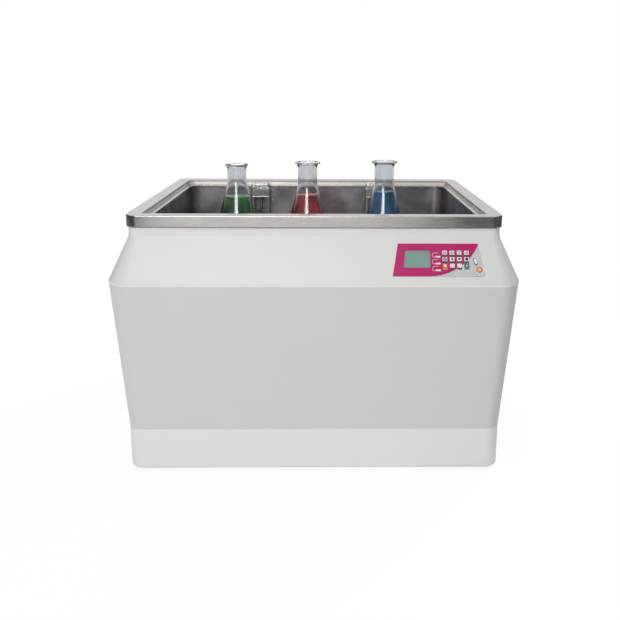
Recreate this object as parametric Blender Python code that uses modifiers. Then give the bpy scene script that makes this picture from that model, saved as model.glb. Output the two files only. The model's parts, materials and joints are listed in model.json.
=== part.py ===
# Shaking water bath: an open bench bath whose tray is shaken by a magnet below the tank.
# Metres, +Z up, +X to the right, front at -Y, origin on the bench under the middle of the casing.

import math

import bmesh
import bpy
from mathutils import Matrix, Vector

# General clearances and counts
seat_gap = 0.0003
overrun = 0.002
corner_steps = 4
round_steps = 20
small_round_steps = 12
fine_round_steps = 8
bend_steps = 3
edge_steps = 2
plain_steps = 1
shoulder_steps = 5
merge_distance = 0.00001

# Overall form of the casing
rim_width = 0.710
rim_depth = 0.514
total_height = 0.5104
foot_stand = 0.003
casing_wall = 0.003
crest_overhang = 0.0336
crest_height = 0.3848
shoulder_radius = 0.0110
slope_tilt = math.radians(65.4)
face_draft = math.radians(4.371)
neck_inset = 0.0035
neck_lip = 0.0100
neck_fillet = 0.030
neck_corner = 0.0195
crest_corner = 0.0420
plinth_height = 0.0846
plinth_corner = 0.028
plinth_round = 0.006
plinth_spigot = 0.008
plinth_flange = 0.020

# Steel rim and its lid ledge
rim_sheet = 0.0012
band_height = 0.0243
band_return = 0.002
rim_corner = 0.0220
rim_edge_round = 0.003
flange_front = 0.020
flange_side = 0.0275
flange_back = 0.030
flange_corner = 0.010
step_drop = 0.012
ledge_width = 0.009
step_slant = 0.005
ledge_corner = 0.026
lip_drop = 0.006

# Tank
tank_sheet = 0.0012
tank_depth = 0.188
tank_lip = 0.006
tank_floor_round = 0.020

# Control panel on the slope, measured down the slope from the neck
panel_middle = 0.2307
panel_top_width = 0.1502
panel_bottom_width = 0.1721
panel_top_run = 0.0114
panel_length = 0.0619
panel_sheet = 0.0010
panel_corner = 0.0012
panel_fit = 0.0003
display_right = 0.2154
display_top_width = 0.0466
display_bottom_width = 0.0502
display_top_run = 0.0251
display_length = 0.0322
display_corner = 0.003
display_glass = 0.0009
key_columns = 4
key_rows = 3
key_width = 0.0088
key_length = 0.0078
key_first_column = 0.2427
key_first_run = 0.0288
key_column_pitch = 0.01355
key_row_pitch = 0.0122
key_corner = 0.0012
key_proud = 0.0009
key_chamfer = 0.0003
key_flange = 0.0007
key_flange_sheet = 0.0012
key_travel = 0.0007
key_window_margin = 0.0035
indicator_middle = 0.2287
indicator_first_run = 0.0366
indicator_pitch = 0.0127
indicator_count = 3
indicator_radius = 0.0014
indicator_proud = 0.0005
lamp_middle = 0.3063
lamp_run = 0.0611
lamp_radius = 0.0062
lamp_proud = 0.0008
lamp_dome_shares = (0.7, 0.8)
board_sheet = 0.0016
board_margin = 0.008
board_post = 0.006
board_air = 0.002

# Tray, its track and its magnet
tray_width = 0.560
tray_length = 0.380
tray_middle = -0.022
tray_floor_height = 0.3586
tray_sheet = 0.0015
tray_edge = 0.016
tray_corner = 0.012
tray_bend = 0.004
tray_hole_radius = 0.0085
tray_hole_columns = 8
tray_hole_rows = 5
tray_hole_margin = 0.045
tray_stroke = 0.015
skid_width = 0.012
skid_height = 0.006
skid_round = 0.001
track_gauge = 0.250
track_width = 0.008
track_span = 0.400
tie_height = 0.006
tie_inset = 0.016
magnet_length = 0.060
magnet_width = 0.040
magnet_height = 0.008
magnet_air = 0.002

# Flasks, their liquids and their clamps
flask_places = (-0.176, -0.020, 0.150)
flask_heights = (0.2160, 0.2215, 0.2240)
flask_neck_radii = (0.0206, 0.0212, 0.0214)
flask_rim_radii = (0.0251, 0.0279, 0.0281)
flask_neck_lengths = (0.036, 0.051, 0.052)
flask_base_radius = 0.062
flask_depth_place = 0.0
flask_flare = 0.012
flask_flare_shares = (0.35, 0.5)
flask_lip = 0.003
flask_wall = 0.0020
flask_base_round = 0.010
flask_punt = 0.002
flask_shoulder_round = 0.010
liquid_heights = (0.142, 0.1445, 0.152)
clamp_strip = 0.014
clamp_sheet = 0.0010
clamp_height = 0.062
clamp_flare = 0.005
clamp_bend = 0.004
clamp_boss_radius = 0.012
clamp_step = 0.0005

# Heater, drain and sensors in the tank
heater_radius = 0.004
heater_rise = 0.013
heater_wall_gap = 0.030
heater_bend = 0.009
heater_tail = 0.030
heater_start = 0.120
heater_return = 0.060
gland_radius = 0.008
gland_height = 0.005
guard_width = 0.046
guard_depth = 0.024
guard_corner = 0.004
guard_sheet = 0.0012
guard_head = 0.035
guard_length = 0.132
guard_below_rim = 0.0028
guard_place = 0.143
guard_window = 0.032
guard_shelf_drop = 0.012
probe_radius = 0.003
probe_collar = 0.007
probe_collar_height = 0.004
probe_length = 0.118
float_radius = 0.0095
float_height = 0.022
float_travel = 0.015
float_fit = 0.0006
stop_radius = 0.005
stop_height = 0.003

# Drive below the tank
bracket_width = 0.300
bracket_length = 0.150
bracket_drop = 0.034
bracket_flange = 0.025
bracket_sheet = 0.002
carriage_width = 0.090
carriage_length = 0.120
carriage_height = 0.012
rail_radius = 0.004
rail_gauge = 0.090
rail_fit = 0.0004
crank_radius = 0.022
crank_sheet = 0.006
crank_hub_radius = 0.006
crank_pin_radius = 0.003
crank_pin_short = 0.003
slot_free = 0.0035
motor_box_width = 0.070
motor_box_length = 0.070
motor_box_height = 0.034
motor_round = 0.0028
motor_can_radius = 0.028
motor_can_height = 0.070
drive_air = 0.0007

# Base, feet and rear fittings
base_sheet = 0.002
base_margin = 0.014
foot_radius = 0.016
foot_inset = 0.060
foot_top_share = 0.8
foot_sole_share = 0.9
foot_band_shares = (0.25, 0.5)
vent_slot_length = 0.060
vent_slot_width = 0.005
vent_slot_corner = 0.0016
base_slot_count = 5
base_slot_pitch = 0.014
cover_width = 0.300
cover_length = 0.170
cover_middle_height = 0.225
cover_sheet = 0.0015
cover_corner = 0.008
cover_lap = 0.012
cover_slot_length = 0.100
cover_slot_width = 0.005
cover_slot_gap = 0.012
cover_slot_pitch = 0.015
cover_slot_rows = 8
cover_slot_columns = 2
inlet_place = -0.200
inlet_height = 0.045
inlet_width = 0.060
inlet_tall = 0.030
inlet_depth = 0.030
inlet_flange = 0.004
inlet_flange_sheet = 0.002
inlet_flange_round = 0.0006
socket_width = 0.024
socket_tall = 0.017
socket_depth = 0.016
socket_side = -0.014
switch_side = 0.017
switch_width = 0.013
switch_tall = 0.019
switch_depth = 0.010
switch_angle = math.radians(9)
switch_fit = 0.0006
switch_root_share = 0.6
switch_tip_share = 0.9
switch_dip_share = 0.4
switch_flank_share = 2.0
drain_place = 0.255
drain_depth_place = 0.150
drain_radius = 0.007
drain_flange_radius = 0.011
drain_flange_sheet = 0.0012
drain_height = 0.036
drain_bend = 0.020
drain_bore_radius = 0.0045
drain_bore_depth = 0.020
spout_reach = 0.0215
valve_radius = 0.009
valve_rise = 0.012
handle_length = 0.0195
handle_width = 0.006
handle_height = 0.009
handle_round = 0.001
handle_stem_radius = 0.0045
handle_stem_height = 0.004

# Places that follow from the driving sizes
half_width = rim_width / 2
half_depth = rim_depth / 2
lean = math.pi / 2 - slope_tilt
shoulder_centre = crest_overhang - shoulder_radius
slope_foot = (shoulder_centre + shoulder_radius * math.cos(lean),
              crest_height + shoulder_radius * math.sin(lean))
neck_foot_height = slope_foot[1] + (slope_foot[0] + neck_inset) * math.tan(slope_tilt)
plinth_top = foot_stand + plinth_height
casing_bottom = plinth_top + seat_gap
face_top = (shoulder_centre + shoulder_radius * math.cos(face_draft),
            crest_height - shoulder_radius * math.sin(face_draft))
plinth_offset = face_top[0] - (face_top[1] - casing_bottom) * math.tan(face_draft)
casing_top = total_height - rim_sheet - seat_gap
step_height = total_height - step_drop
wall_front = half_depth - flange_front - ledge_width + rim_sheet + seat_gap
wall_back = half_depth - flange_back - ledge_width + rim_sheet + seat_gap
wall_side = half_width - flange_side - ledge_width + rim_sheet + seat_gap
wall_corner = ledge_corner + rim_sheet + seat_gap
tank_top = step_height - rim_sheet - seat_gap
tank_floor = total_height - tank_depth
tank_under = tank_floor - tank_sheet
base_under = foot_stand + casing_wall + seat_gap
back_face = half_depth + plinth_offset

bath = bpy.data.collections.new("shaking_water_bath")
tools = bpy.data.collections.new("cutters")


# Scene, materials and small modelling helpers

def clear_scene():
    for item in list(bpy.data.objects):
        bpy.data.objects.remove(item)
    bpy.context.scene.collection.children.link(bath)
    bpy.context.scene.collection.children.link(tools)


def material(name, colour, roughness, metallic=0.0, transmission=0.0):
    new = bpy.data.materials.new(name)
    new.use_nodes = True
    shader = new.node_tree.nodes["Principled BSDF"]
    shader.inputs["Base Color"].default_value = (*colour, 1.0)
    shader.inputs["Roughness"].default_value = roughness
    shader.inputs["Metallic"].default_value = metallic
    shader.inputs["Transmission Weight"].default_value = transmission
    new.diffuse_color = (*colour, 1.0)
    return new


def place(name, mesh, finish, location=(0, 0, 0), parent=None, collection=bath):
    item = bpy.data.objects.new(name, mesh)
    item.location = location
    item.parent = parent
    if finish:
        mesh.materials.clear()
        mesh.materials.append(finish)
    collection.objects.link(item)
    return item


def from_bmesh(name, shape, finish, location=(0, 0, 0), parent=None, collection=bath, smooth=True):
    mesh = bpy.data.meshes.new(name)
    shape.to_mesh(mesh)
    shape.free()
    if smooth:
        mesh.shade_smooth()
        mesh.set_sharp_from_angle(angle=math.radians(35))
    return place(name, mesh, finish, location, parent, collection)


def as_cutter(item):
    item.hide_render = True
    item.display_type = "WIRE"
    if item.name in bath.objects:
        bath.objects.unlink(item)
        tools.objects.link(item)
    return item


def combine(target, other, operation):
    step = target.modifiers.new(operation.lower(), "BOOLEAN")
    step.operation = operation
    step.object = as_cutter(other)


def cut(target, cutter):
    combine(target, cutter, "DIFFERENCE")


def join(target, other):
    combine(target, other, "UNION")


def thicken(item, wall):
    step = item.modifiers.new("wall", "SOLIDIFY")
    step.thickness = wall
    step.offset = -1.0
    step.use_even_offset = True


def bevel(item, width, segments=2):
    step = item.modifiers.new("bevel", "BEVEL")
    step.width = width
    step.segments = segments
    step.limit_method = "ANGLE"


def rounded(points, radius, steps, closed=True):
    """Points of a route or outline whose corners are turned into arcs."""
    result = []
    last = len(points) - 1
    for index, corner in enumerate(points):
        if not closed and index in (0, last):
            result.append(corner)
            continue
        back = (points[index - 1] - corner).normalized()
        ahead = (points[(index + 1) % len(points)] - corner).normalized()
        half_angle = back.angle(ahead) / 2
        centre = corner + (back + ahead).normalized() * radius / math.sin(half_angle)
        start = corner + back * radius / math.tan(half_angle) - centre
        turn = start.rotation_difference(corner + ahead * radius / math.tan(half_angle) - centre)
        axis, angle = turn.to_axis_angle()
        for step in range(steps + 1):
            result.append(centre + Matrix.Rotation(angle * step / steps, 3, axis) @ start)
    return result


def rectangle(width, length, radius, steps=bend_steps, middle=(0, 0)):
    x, y = middle
    corners = [Vector((x + sx * width / 2, y + sy * length / 2, 0))
               for sx, sy in ((-1, -1), (1, -1), (1, 1), (-1, 1))]
    return rounded(corners, radius, steps)


def circle(radius, steps, middle=(0, 0)):
    return [Vector((middle[0] + radius * math.cos(math.tau * i / steps),
                    middle[1] + radius * math.sin(math.tau * i / steps), 0)) for i in range(steps)]


def ring(shape, half_x, front, back, radius, height, steps=corner_steps):
    """A rounded rectangle of vertices, from its front left corner and anticlockwise from above."""
    corners = [Vector((-half_x, -front, height)), Vector((half_x, -front, height)),
               Vector((half_x, back, height)), Vector((-half_x, back, height))]
    return [shape.verts.new(point) for point in rounded(corners, radius, steps)]


def loft(shape, rings):
    """Joins rings listed from the outer top downwards, so that the faces point outwards."""
    for upper, lower in zip(rings, rings[1:]):
        count = len(upper)
        for i in range(count):
            j = (i + 1) % count
            shape.faces.new((upper[i], lower[i], lower[j], upper[j]))


def through(wall):
    """Depth of a cutter that passes right through a wall."""
    return wall + overrun * 2


def block(name, size, middle, finish, parent=None, collection=bath):
    shape = bmesh.new()
    bmesh.ops.create_cube(shape, size=1.0)
    bmesh.ops.scale(shape, vec=size, verts=shape.verts)
    return from_bmesh(name, shape, finish, middle, parent, collection, smooth=False)


def rod(name, radius, length, middle, finish, axis="Z", steps=small_round_steps, parent=None):
    shape = bmesh.new()
    bmesh.ops.create_cone(shape, cap_ends=True, segments=steps, radius1=radius, radius2=radius, depth=length)
    turn = {"X": Matrix.Rotation(math.pi / 2, 3, "Y"), "Y": Matrix.Rotation(math.pi / 2, 3, "X"),
            "Z": Matrix.Identity(3)}[axis]
    bmesh.ops.transform(shape, matrix=turn.to_4x4(), verts=shape.verts)
    return from_bmesh(name, shape, finish, middle, parent)


def turned(name, profile, location, finish, steps=round_steps, closed=False, parent=None):
    """A profile of (radius, height) points spun round Z, running down its outer side."""
    mesh = bpy.data.meshes.new(name)
    edges = [(i, i + 1) for i in range(len(profile) - 1)]
    if closed:
        edges.append((len(profile) - 1, 0))
    mesh.from_pydata([(radius, 0, height) for radius, height in profile], edges, [])
    item = place(name, mesh, finish, location, parent)
    spin = item.modifiers.new("turn", "SCREW")
    spin.steps = spin.render_steps = steps
    spin.use_merge_vertices = True
    spin.merge_threshold = merge_distance
    spin.use_smooth_shade = True
    return item


def settled(item, name, finish):
    """Replaces a curve by its mesh, with the caps welded on."""
    graph = bpy.context.evaluated_depsgraph_get()
    mesh = bpy.data.meshes.new_from_object(item.evaluated_get(graph))
    shape = bmesh.new()
    shape.from_mesh(mesh)
    bmesh.ops.remove_doubles(shape, verts=shape.verts, dist=merge_distance)
    shape.to_mesh(mesh)
    shape.free()
    matrix = item.matrix_world.copy()
    bpy.data.objects.remove(item)
    solid = place(name, mesh, finish)
    solid.matrix_world = matrix
    return solid


def curve_object(name, routes, dimensions, closed):
    data = bpy.data.curves.new(name, "CURVE")
    data.dimensions = dimensions
    for points in routes:
        spline = data.splines.new("POLY")
        spline.points.add(len(points) - 1)
        for target, point in zip(spline.points, points):
            target.co = (*point, 1.0)
        spline.use_cyclic_u = closed
    item = bpy.data.objects.new(name, data)
    bath.objects.link(item)
    return data, item


def flat_plate(name, outlines, sheet, finish, middle=(0, 0, 0), parent=None):
    """A flat sheet from an outline and its holes, lying in its own XY plane."""
    data, item = curve_object(name, outlines, "2D", True)
    data.fill_mode = "BOTH"
    data.extrude = sheet / 2
    solid = settled(item, name, finish)
    solid.parent = parent
    solid.location = middle
    return solid


def tube(name, points, radius, finish):
    data, item = curve_object(name, [points], "3D", False)
    data.bevel_depth = radius
    data.bevel_resolution = 2
    data.use_fill_caps = True
    return settled(item, name, finish)


# Casing, plinth and base

def arc_points(radius, turn, steps=bend_steps):
    """Inward and upward distances along an arc that leaves a vertical wall and turns by an angle."""
    return [(radius * (1 - math.cos(turn * i / steps)), radius * math.sin(turn * i / steps))
            for i in range(steps + 1)]


def casing_section():
    """Offsets from the rim, heights and corner radii of the casing, from the top edge down."""
    reach = neck_fillet * math.tan(lean / 2)
    bend = [(outwards - neck_inset, neck_foot_height + reach - fall)
            for outwards, fall in arc_points(neck_fillet, lean)]
    sweep = lean + face_draft
    turns = [lean - sweep * i / shoulder_steps for i in range(shoulder_steps + 1)]
    shoulder = [(shoulder_centre + shoulder_radius * math.cos(turn),
                 crest_height + shoulder_radius * math.sin(turn)) for turn in turns]
    rows = [(-neck_inset - neck_lip, casing_top, neck_corner - neck_lip),
            (-neck_inset, casing_top, neck_corner)]
    for offset, height in bend + shoulder:
        share = (offset + neck_inset) / (crest_overhang + neck_inset)
        rows.append((offset, height, neck_corner + (crest_corner - neck_corner) * share))
    rows.append((plinth_offset, casing_bottom, plinth_corner))
    return rows


def offset_ring(shape, offset, height, corner):
    return ring(shape, half_width + offset, half_depth + offset, half_depth + offset, corner, height)


def make_casing(finish, panel):
    shape = bmesh.new()
    loft(shape, [offset_ring(shape, *row) for row in casing_section()])
    casing = from_bmesh("casing", shape, finish)
    thicken(casing, casing_wall)
    window_width = (key_columns - 1) * key_column_pitch + key_width + key_window_margin * 2
    window_length = (key_rows - 1) * key_row_pitch + key_length + key_window_margin * 2
    middle = key_field_middle()
    cut(casing, block("key_window", (window_width, window_length, through(casing_wall)),
                      (middle[0], middle[1], -casing_wall / 2), None, panel))
    return casing


def make_plinth(finish):
    spigot = plinth_offset - casing_wall - seat_gap * 2
    arc = [(plinth_offset - inwards, foot_stand + plinth_round - fall, plinth_corner - inwards)
           for inwards, fall in arc_points(plinth_round, math.pi / 2)]
    rows = [(spigot, plinth_top + plinth_spigot, plinth_corner + spigot - plinth_offset),
            (spigot, plinth_top, plinth_corner + spigot - plinth_offset),
            (plinth_offset, plinth_top, plinth_corner)] + arc
    rows.append((plinth_offset - plinth_flange, foot_stand, plinth_corner - plinth_flange))
    shape = bmesh.new()
    loft(shape, [offset_ring(shape, *row) for row in rows])
    plinth = from_bmesh("plinth", shape, finish)
    thicken(plinth, casing_wall)
    wall_middle = back_face - casing_wall / 2
    cut(plinth, block("inlet_cutter", (inlet_width + seat_gap * 2,
                                       through(casing_wall), inlet_tall + seat_gap * 2),
                      (inlet_place, wall_middle, inlet_height), None))
    cut(plinth, rod("spout_cutter", drain_radius + seat_gap, through(casing_wall),
                    (drain_place, wall_middle, drain_height), None, "Y"))
    return plinth


def make_base(steel, rubber):
    width = rim_width + (plinth_offset - base_margin) * 2
    length = rim_depth + (plinth_offset - base_margin) * 2
    outlines = [rectangle(width, length, plinth_corner - base_margin, corner_steps)]
    for side in (-1, 1):
        for row in range(base_slot_count):
            middle = (side * width / 4, (row - (base_slot_count - 1) / 2) * base_slot_pitch)
            outlines.append(rectangle(vent_slot_length, vent_slot_width, vent_slot_corner,
                                      plain_steps, middle))
    flat_plate("base_plate", outlines, base_sheet, steel, (0, 0, base_under + base_sheet / 2))
    height = base_under - seat_gap
    low, high = foot_band_shares
    for number, (sx, sy) in enumerate(((-1, -1), (1, -1), (1, 1), (-1, 1)), 1):
        profile = [(0, height), (foot_radius * foot_top_share, height), (foot_radius, height * high),
                   (foot_radius, height * low), (foot_radius * foot_sole_share, 0), (0, 0)]
        turned(f"foot_{number}", profile,
               (sx * (half_width - foot_inset), sy * (half_depth - foot_inset), 0),
               rubber, small_round_steps)


# Steel rim and tank

def make_rim(steel):
    def uneven(shape, inwards, height, corner):
        side, front, back = inwards
        return ring(shape, half_width - side, half_depth - front, half_depth - back, corner, height)

    bottom = total_height - band_height
    arc = [(inwards, total_height - rim_edge_round + rise)
           for inwards, rise in arc_points(rim_edge_round, math.pi / 2, edge_steps)]
    flange = (flange_side, flange_front, flange_back)
    ledge = tuple(size + ledge_width for size in flange)
    step_foot = tuple(size + step_slant for size in flange)
    rows = [(ledge, step_height - lip_drop, ledge_corner), (ledge, step_height, ledge_corner),
            (step_foot, step_height, flange_corner + step_slant), (flange, total_height, flange_corner)]
    rows += [((inwards,) * 3, height, rim_corner - inwards) for inwards, height in reversed(arc)]
    rows += [((0, 0, 0), bottom + band_return, rim_corner),
             ((band_return,) * 3, bottom, rim_corner - band_return)]
    shape = bmesh.new()
    loft(shape, [uneven(shape, *row) for row in rows])
    rim = from_bmesh("rim_frame", shape, steel)
    thicken(rim, rim_sheet)
    return rim


def make_tank(steel):
    arc = [(inwards, tank_floor + tank_floor_round - fall)
           for inwards, fall in arc_points(tank_floor_round, math.pi / 2)]
    rows = [(-tank_lip, tank_top, wall_corner + tank_lip), (0, tank_top, wall_corner)]
    rows += [(inwards, height, wall_corner - inwards) for inwards, height in arc]
    shape = bmesh.new()
    rings = [ring(shape, wall_side - inwards, wall_front - inwards, wall_back - inwards, corner, height)
             for inwards, height, corner in rows]
    loft(shape, rings)
    shape.faces.new(reversed(rings[-1]))
    bmesh.ops.reverse_faces(shape, faces=shape.faces)
    tank = from_bmesh("tank", shape, steel)
    thicken(tank, tank_sheet)
    for name, x in (("heater_hole_in", heater_start), ("heater_hole_out", heater_return)):
        cut(tank, rod(name, heater_radius + seat_gap, through(tank_sheet),
                      (x, heater_back(), tank_floor - tank_sheet / 2), None))
    cut(tank, rod("drain_hole", drain_radius + seat_gap, through(tank_sheet),
                  (drain_place, drain_depth_place, tank_floor - tank_sheet / 2), None))
    return tank


def heater_back():
    return wall_back - heater_wall_gap


def make_heater(steel):
    side = wall_side - heater_wall_gap
    front = wall_front - heater_wall_gap
    level = tank_floor + heater_rise
    foot = tank_floor - heater_tail
    corners = [(heater_start, heater_back(), foot), (heater_start, heater_back(), level),
               (side, heater_back(), level), (side, -front, level), (-side, -front, level),
               (-side, heater_back(), level), (heater_return, heater_back(), level),
               (heater_return, heater_back(), foot)]
    corners = [Vector(corner) for corner in corners]
    route = rounded(corners, heater_bend, bend_steps, closed=False)
    heater = tube("heater", route, heater_radius, steel)
    for name, x in (("gland_in", heater_start), ("gland_out", heater_return)):
        join(heater, rod(name, gland_radius, gland_height,
                         (x, heater_back(), tank_floor + seat_gap + gland_height / 2), None, steps=6))
    return heater


# Sensors on the back wall

def guard_back():
    return half_depth - flange_back - ledge_width - seat_gap


def make_guard(name, x, steel):
    top = total_height - guard_below_rim
    middle = guard_back() - guard_depth / 2
    shape = bmesh.new()
    loft(shape, [ring(shape, guard_width / 2, guard_depth / 2, guard_depth / 2,
                      guard_corner, height, bend_steps)
                 for height in (top, top - guard_length)])
    guard = from_bmesh(name, shape, steel, (x, middle, 0))
    thicken(guard, guard_sheet)
    window_height = guard_length - guard_head
    window = block(name + "_window", (guard_window, guard_depth, window_height + overrun),
                   (x, middle - guard_depth / 2, top - guard_head - (window_height + overrun) / 2), None)
    cut(guard, window)
    shelf = block(name + "_shelf", (guard_width - guard_sheet, guard_depth - guard_sheet, guard_sheet),
                  (x, middle, top - guard_shelf_drop), None)
    cut(shelf, rod(name + "_shelf_hole", probe_radius + seat_gap, through(guard_sheet),
                   (x, middle, top - guard_shelf_drop), None))
    join(guard, shelf)
    return guard


def make_sensors(steel, plastic):
    shelf_top = total_height - guard_below_rim - guard_shelf_drop + guard_sheet / 2
    middle = guard_back() - guard_depth / 2
    foot = shelf_top + seat_gap
    head = [(0, probe_collar_height), (probe_collar, probe_collar_height),
            (probe_collar, 0), (probe_radius, 0)]
    make_guard("probe_guard", -guard_place, steel)
    make_guard("float_guard", guard_place, steel)
    turned("temperature_probe", head + [(probe_radius, -probe_length + probe_radius), (0, -probe_length)],
           (-guard_place, middle, foot), steel, small_round_steps)
    stop = -probe_length + stop_height
    turned("float_rod", head + [(probe_radius, stop), (stop_radius, stop), (stop_radius, -probe_length),
                                (0, -probe_length)], (guard_place, middle, foot), steel, small_round_steps)
    bore = probe_radius + float_fit
    turned("level_float", [(bore, float_height), (float_radius - float_fit, float_height),
                           (float_radius, float_height - float_fit), (float_radius, float_fit),
                           (float_radius - float_fit, 0), (bore, 0)],
           (guard_place, middle, foot + stop + seat_gap), plastic, small_round_steps, closed=True)


# Control panel

def make_panel_frame():
    frame = bpy.data.objects.new("panel_frame", None)
    frame.location = (0, -(half_depth - neck_inset), neck_foot_height)
    frame.rotation_euler = (slope_tilt, 0, 0)
    bath.objects.link(frame)
    return frame


def key_field_middle():
    return (key_first_column + (key_columns - 1) * key_column_pitch / 2,
            -key_first_run - (key_rows - 1) * key_row_pitch / 2)


def key_places():
    return [(key_first_column + column * key_column_pitch, -key_first_run - row * key_row_pitch)
            for row in range(key_rows) for column in range(key_columns)]


def indicator_places():
    return [(indicator_middle, -indicator_first_run - row * indicator_pitch)
            for row in range(indicator_count)]


def panel_outline():
    top = -panel_top_run
    bottom = top - panel_length
    corners = [Vector((panel_middle - panel_bottom_width / 2, bottom, 0)),
               Vector((panel_middle + panel_bottom_width / 2, bottom, 0)),
               Vector((panel_middle + panel_top_width / 2, top, 0)),
               Vector((panel_middle - panel_top_width / 2, top, 0))]
    return rounded(corners, panel_corner, bend_steps)


def display_outline(grow):
    """The display's outline: its left side leans with the panel's, its right side is square."""
    top = -display_top_run + grow
    bottom = -display_top_run - display_length - grow
    right = display_right + grow
    corners = [Vector((display_right - display_bottom_width - grow, bottom, 0)), Vector((right, bottom, 0)),
               Vector((right, top, 0)), Vector((display_right - display_top_width - grow, top, 0))]
    return rounded(corners, display_corner + grow, bend_steps)


def make_panel(frame, finishes):
    outlines = [panel_outline(), display_outline(panel_fit)]
    outlines += [rectangle(key_width + panel_fit * 2, key_length + panel_fit * 2, key_corner + panel_fit,
                           plain_steps, spot) for spot in key_places()]
    outlines += [circle(indicator_radius + panel_fit, fine_round_steps, spot) for spot in indicator_places()]
    outlines.append(circle(lamp_radius + panel_fit, round_steps, (lamp_middle, -lamp_run)))
    flat_plate("panel_overlay", outlines, panel_sheet, finishes["magenta"],
               (0, 0, seat_gap + panel_sheet / 2), frame)
    flat_plate("display_window", [display_outline(0)], display_glass, finishes["display"],
               (0, 0, seat_gap + display_glass / 2), frame)
    for number, spot in enumerate(indicator_places(), 1):
        rod(f"indicator_{number}", indicator_radius, panel_sheet + indicator_proud,
            (*spot, seat_gap + (panel_sheet + indicator_proud) / 2), finishes["white"],
            steps=fine_round_steps, parent=frame)
    across, up = lamp_dome_shares
    dome = [(0, panel_sheet + lamp_proud), (lamp_radius * across, panel_sheet + lamp_proud * up),
            (lamp_radius, panel_sheet), (lamp_radius, 0), (0, 0)]
    turned("power_lamp", dome, (lamp_middle, -lamp_run, seat_gap), finishes["orange"], parent=frame)


def make_keys(frame, finish):
    flange_top = 0
    overlay_top = seat_gap + panel_sheet
    cap_top = overlay_top + key_proud
    rows = [(-key_chamfer, cap_top), (0, cap_top - key_chamfer), (0, flange_top),
            (key_flange, flange_top), (key_flange, flange_top - key_flange_sheet)]
    for number, (x, y) in enumerate(key_places(), 1):
        shape = bmesh.new()
        rings = [ring(shape, key_width / 2 + grow, key_length / 2 + grow, key_length / 2 + grow,
                      key_corner + grow, height, plain_steps) for grow, height in rows]
        loft(shape, rings)
        shape.faces.new(rings[0])
        shape.faces.new(reversed(rings[-1]))
        from_bmesh(f"key_{number:02d}", shape, finish, (x, y, 0), frame)


def make_board(frame, finish):
    width = (key_columns - 1) * key_column_pitch + key_width + (key_window_margin + board_margin) * 2
    length = (key_rows - 1) * key_row_pitch + key_length + (key_window_margin + board_margin) * 2
    x, y = key_field_middle()
    key_foot = -key_flange_sheet
    face = min(key_foot - key_travel - seat_gap, -casing_wall - seat_gap) - board_air
    board = block("keypad_board", (width, length, board_sheet),
                  (x, y, face - board_sheet / 2), finish, frame)
    post_top = -casing_wall - seat_gap
    for sx in (-1, 1):
        for sy in (-1, 1):
            spot = (x + sx * (width - board_post) / 2, y + sy * (length - board_post) / 2)
            name = f"post_{sx + 1}_{sy + 1}"
            join(board, block(name, (board_post - seat_gap, board_post - seat_gap,
                                     post_top - face + board_sheet / 2),
                              (*spot, (post_top + face - board_sheet / 2) / 2), None, frame))
    return board


# Tray, its track and its magnet

def make_tray(steel, ptfe, magnet):
    outer = (tray_width / 2, tray_length / 2)
    under = tray_floor_height - tray_sheet
    shape = bmesh.new()
    levels = [(0, tray_floor_height + tray_edge, tray_corner)]
    levels += [(inwards, tray_floor_height + tray_bend - fall, tray_corner - inwards)
               for inwards, fall in arc_points(tray_bend, math.pi / 2, edge_steps)]
    rings = [ring(shape, outer[0] - inwards, outer[1] - inwards, outer[1] - inwards,
                  corner, height, bend_steps)
             for inwards, height, corner in levels]
    loft(shape, rings)
    shape.faces.new(reversed(rings[-1]))
    bmesh.ops.reverse_faces(shape, faces=shape.faces)
    tray = from_bmesh("shaking_tray", shape, steel, (0, tray_middle, 0))
    thicken(tray, tray_sheet)
    cut(tray, tray_punch(outer, under))
    skid_middle = under - seat_gap - skid_height / 2
    for name, side in (("front_skid", -1), ("rear_skid", 1)):
        skid = block(name, (track_span - tray_stroke * 2, skid_width, skid_height),
                     (0, tray_middle + side * track_gauge / 2, skid_middle), ptfe)
        bevel(skid, skid_round, plain_steps)
    foot = tank_floor + magnet_air
    holder = block("tray_magnet", (magnet_width, magnet_length, magnet_height),
                   (0, tray_middle, foot + magnet_height / 2), magnet)
    neck_top = under - seat_gap
    join(holder, block("magnet_neck", (magnet_width / 2, magnet_length / 2,
                                       neck_top - foot - magnet_height / 2),
                       (0, tray_middle, (neck_top + foot + magnet_height / 2) / 2), None))
    return tray


def tray_punch(outer, under):
    """All the round holes of the tray floor as one cutter."""
    shape = bmesh.new()
    pitch_x = (outer[0] - tray_hole_margin) * 2 / (tray_hole_columns - 1)
    pitch_y = (outer[1] - tray_hole_margin) * 2 / (tray_hole_rows - 1)
    for column in range(tray_hole_columns):
        for row in range(tray_hole_rows):
            spot = Vector((-outer[0] + tray_hole_margin + column * pitch_x,
                           -outer[1] + tray_hole_margin + row * pitch_y + tray_middle, under))
            bmesh.ops.create_cone(shape, cap_ends=True, segments=fine_round_steps, radius1=tray_hole_radius,
                                  radius2=tray_hole_radius, depth=through(tray_sheet) * 2,
                                  matrix=Matrix.Translation(spot))
    return from_bmesh("tray_punch", shape, None)


def make_track(steel):
    rail_top = tray_floor_height - tray_sheet - seat_gap * 2 - skid_height
    rail_height = rail_top - tank_floor - seat_gap
    middle = tank_floor + seat_gap + rail_height / 2
    track = block("tray_track", (track_span, track_width, rail_height),
                  (0, tray_middle - track_gauge / 2, middle), steel)
    join(track, block("rear_rail", (track_span, track_width, rail_height),
                      (0, tray_middle + track_gauge / 2, middle), None))
    for name, side in (("tie_left", -1), ("tie_right", 1)):
        join(track, block(name, (track_width, track_gauge, tie_height),
                          (side * (track_span / 2 - tie_inset), tray_middle,
                           tank_floor + seat_gap * 2 + tie_height / 2), None))
    return track


# Flasks and clamps

def clamp_foot():
    return tray_floor_height + seat_gap


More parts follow.
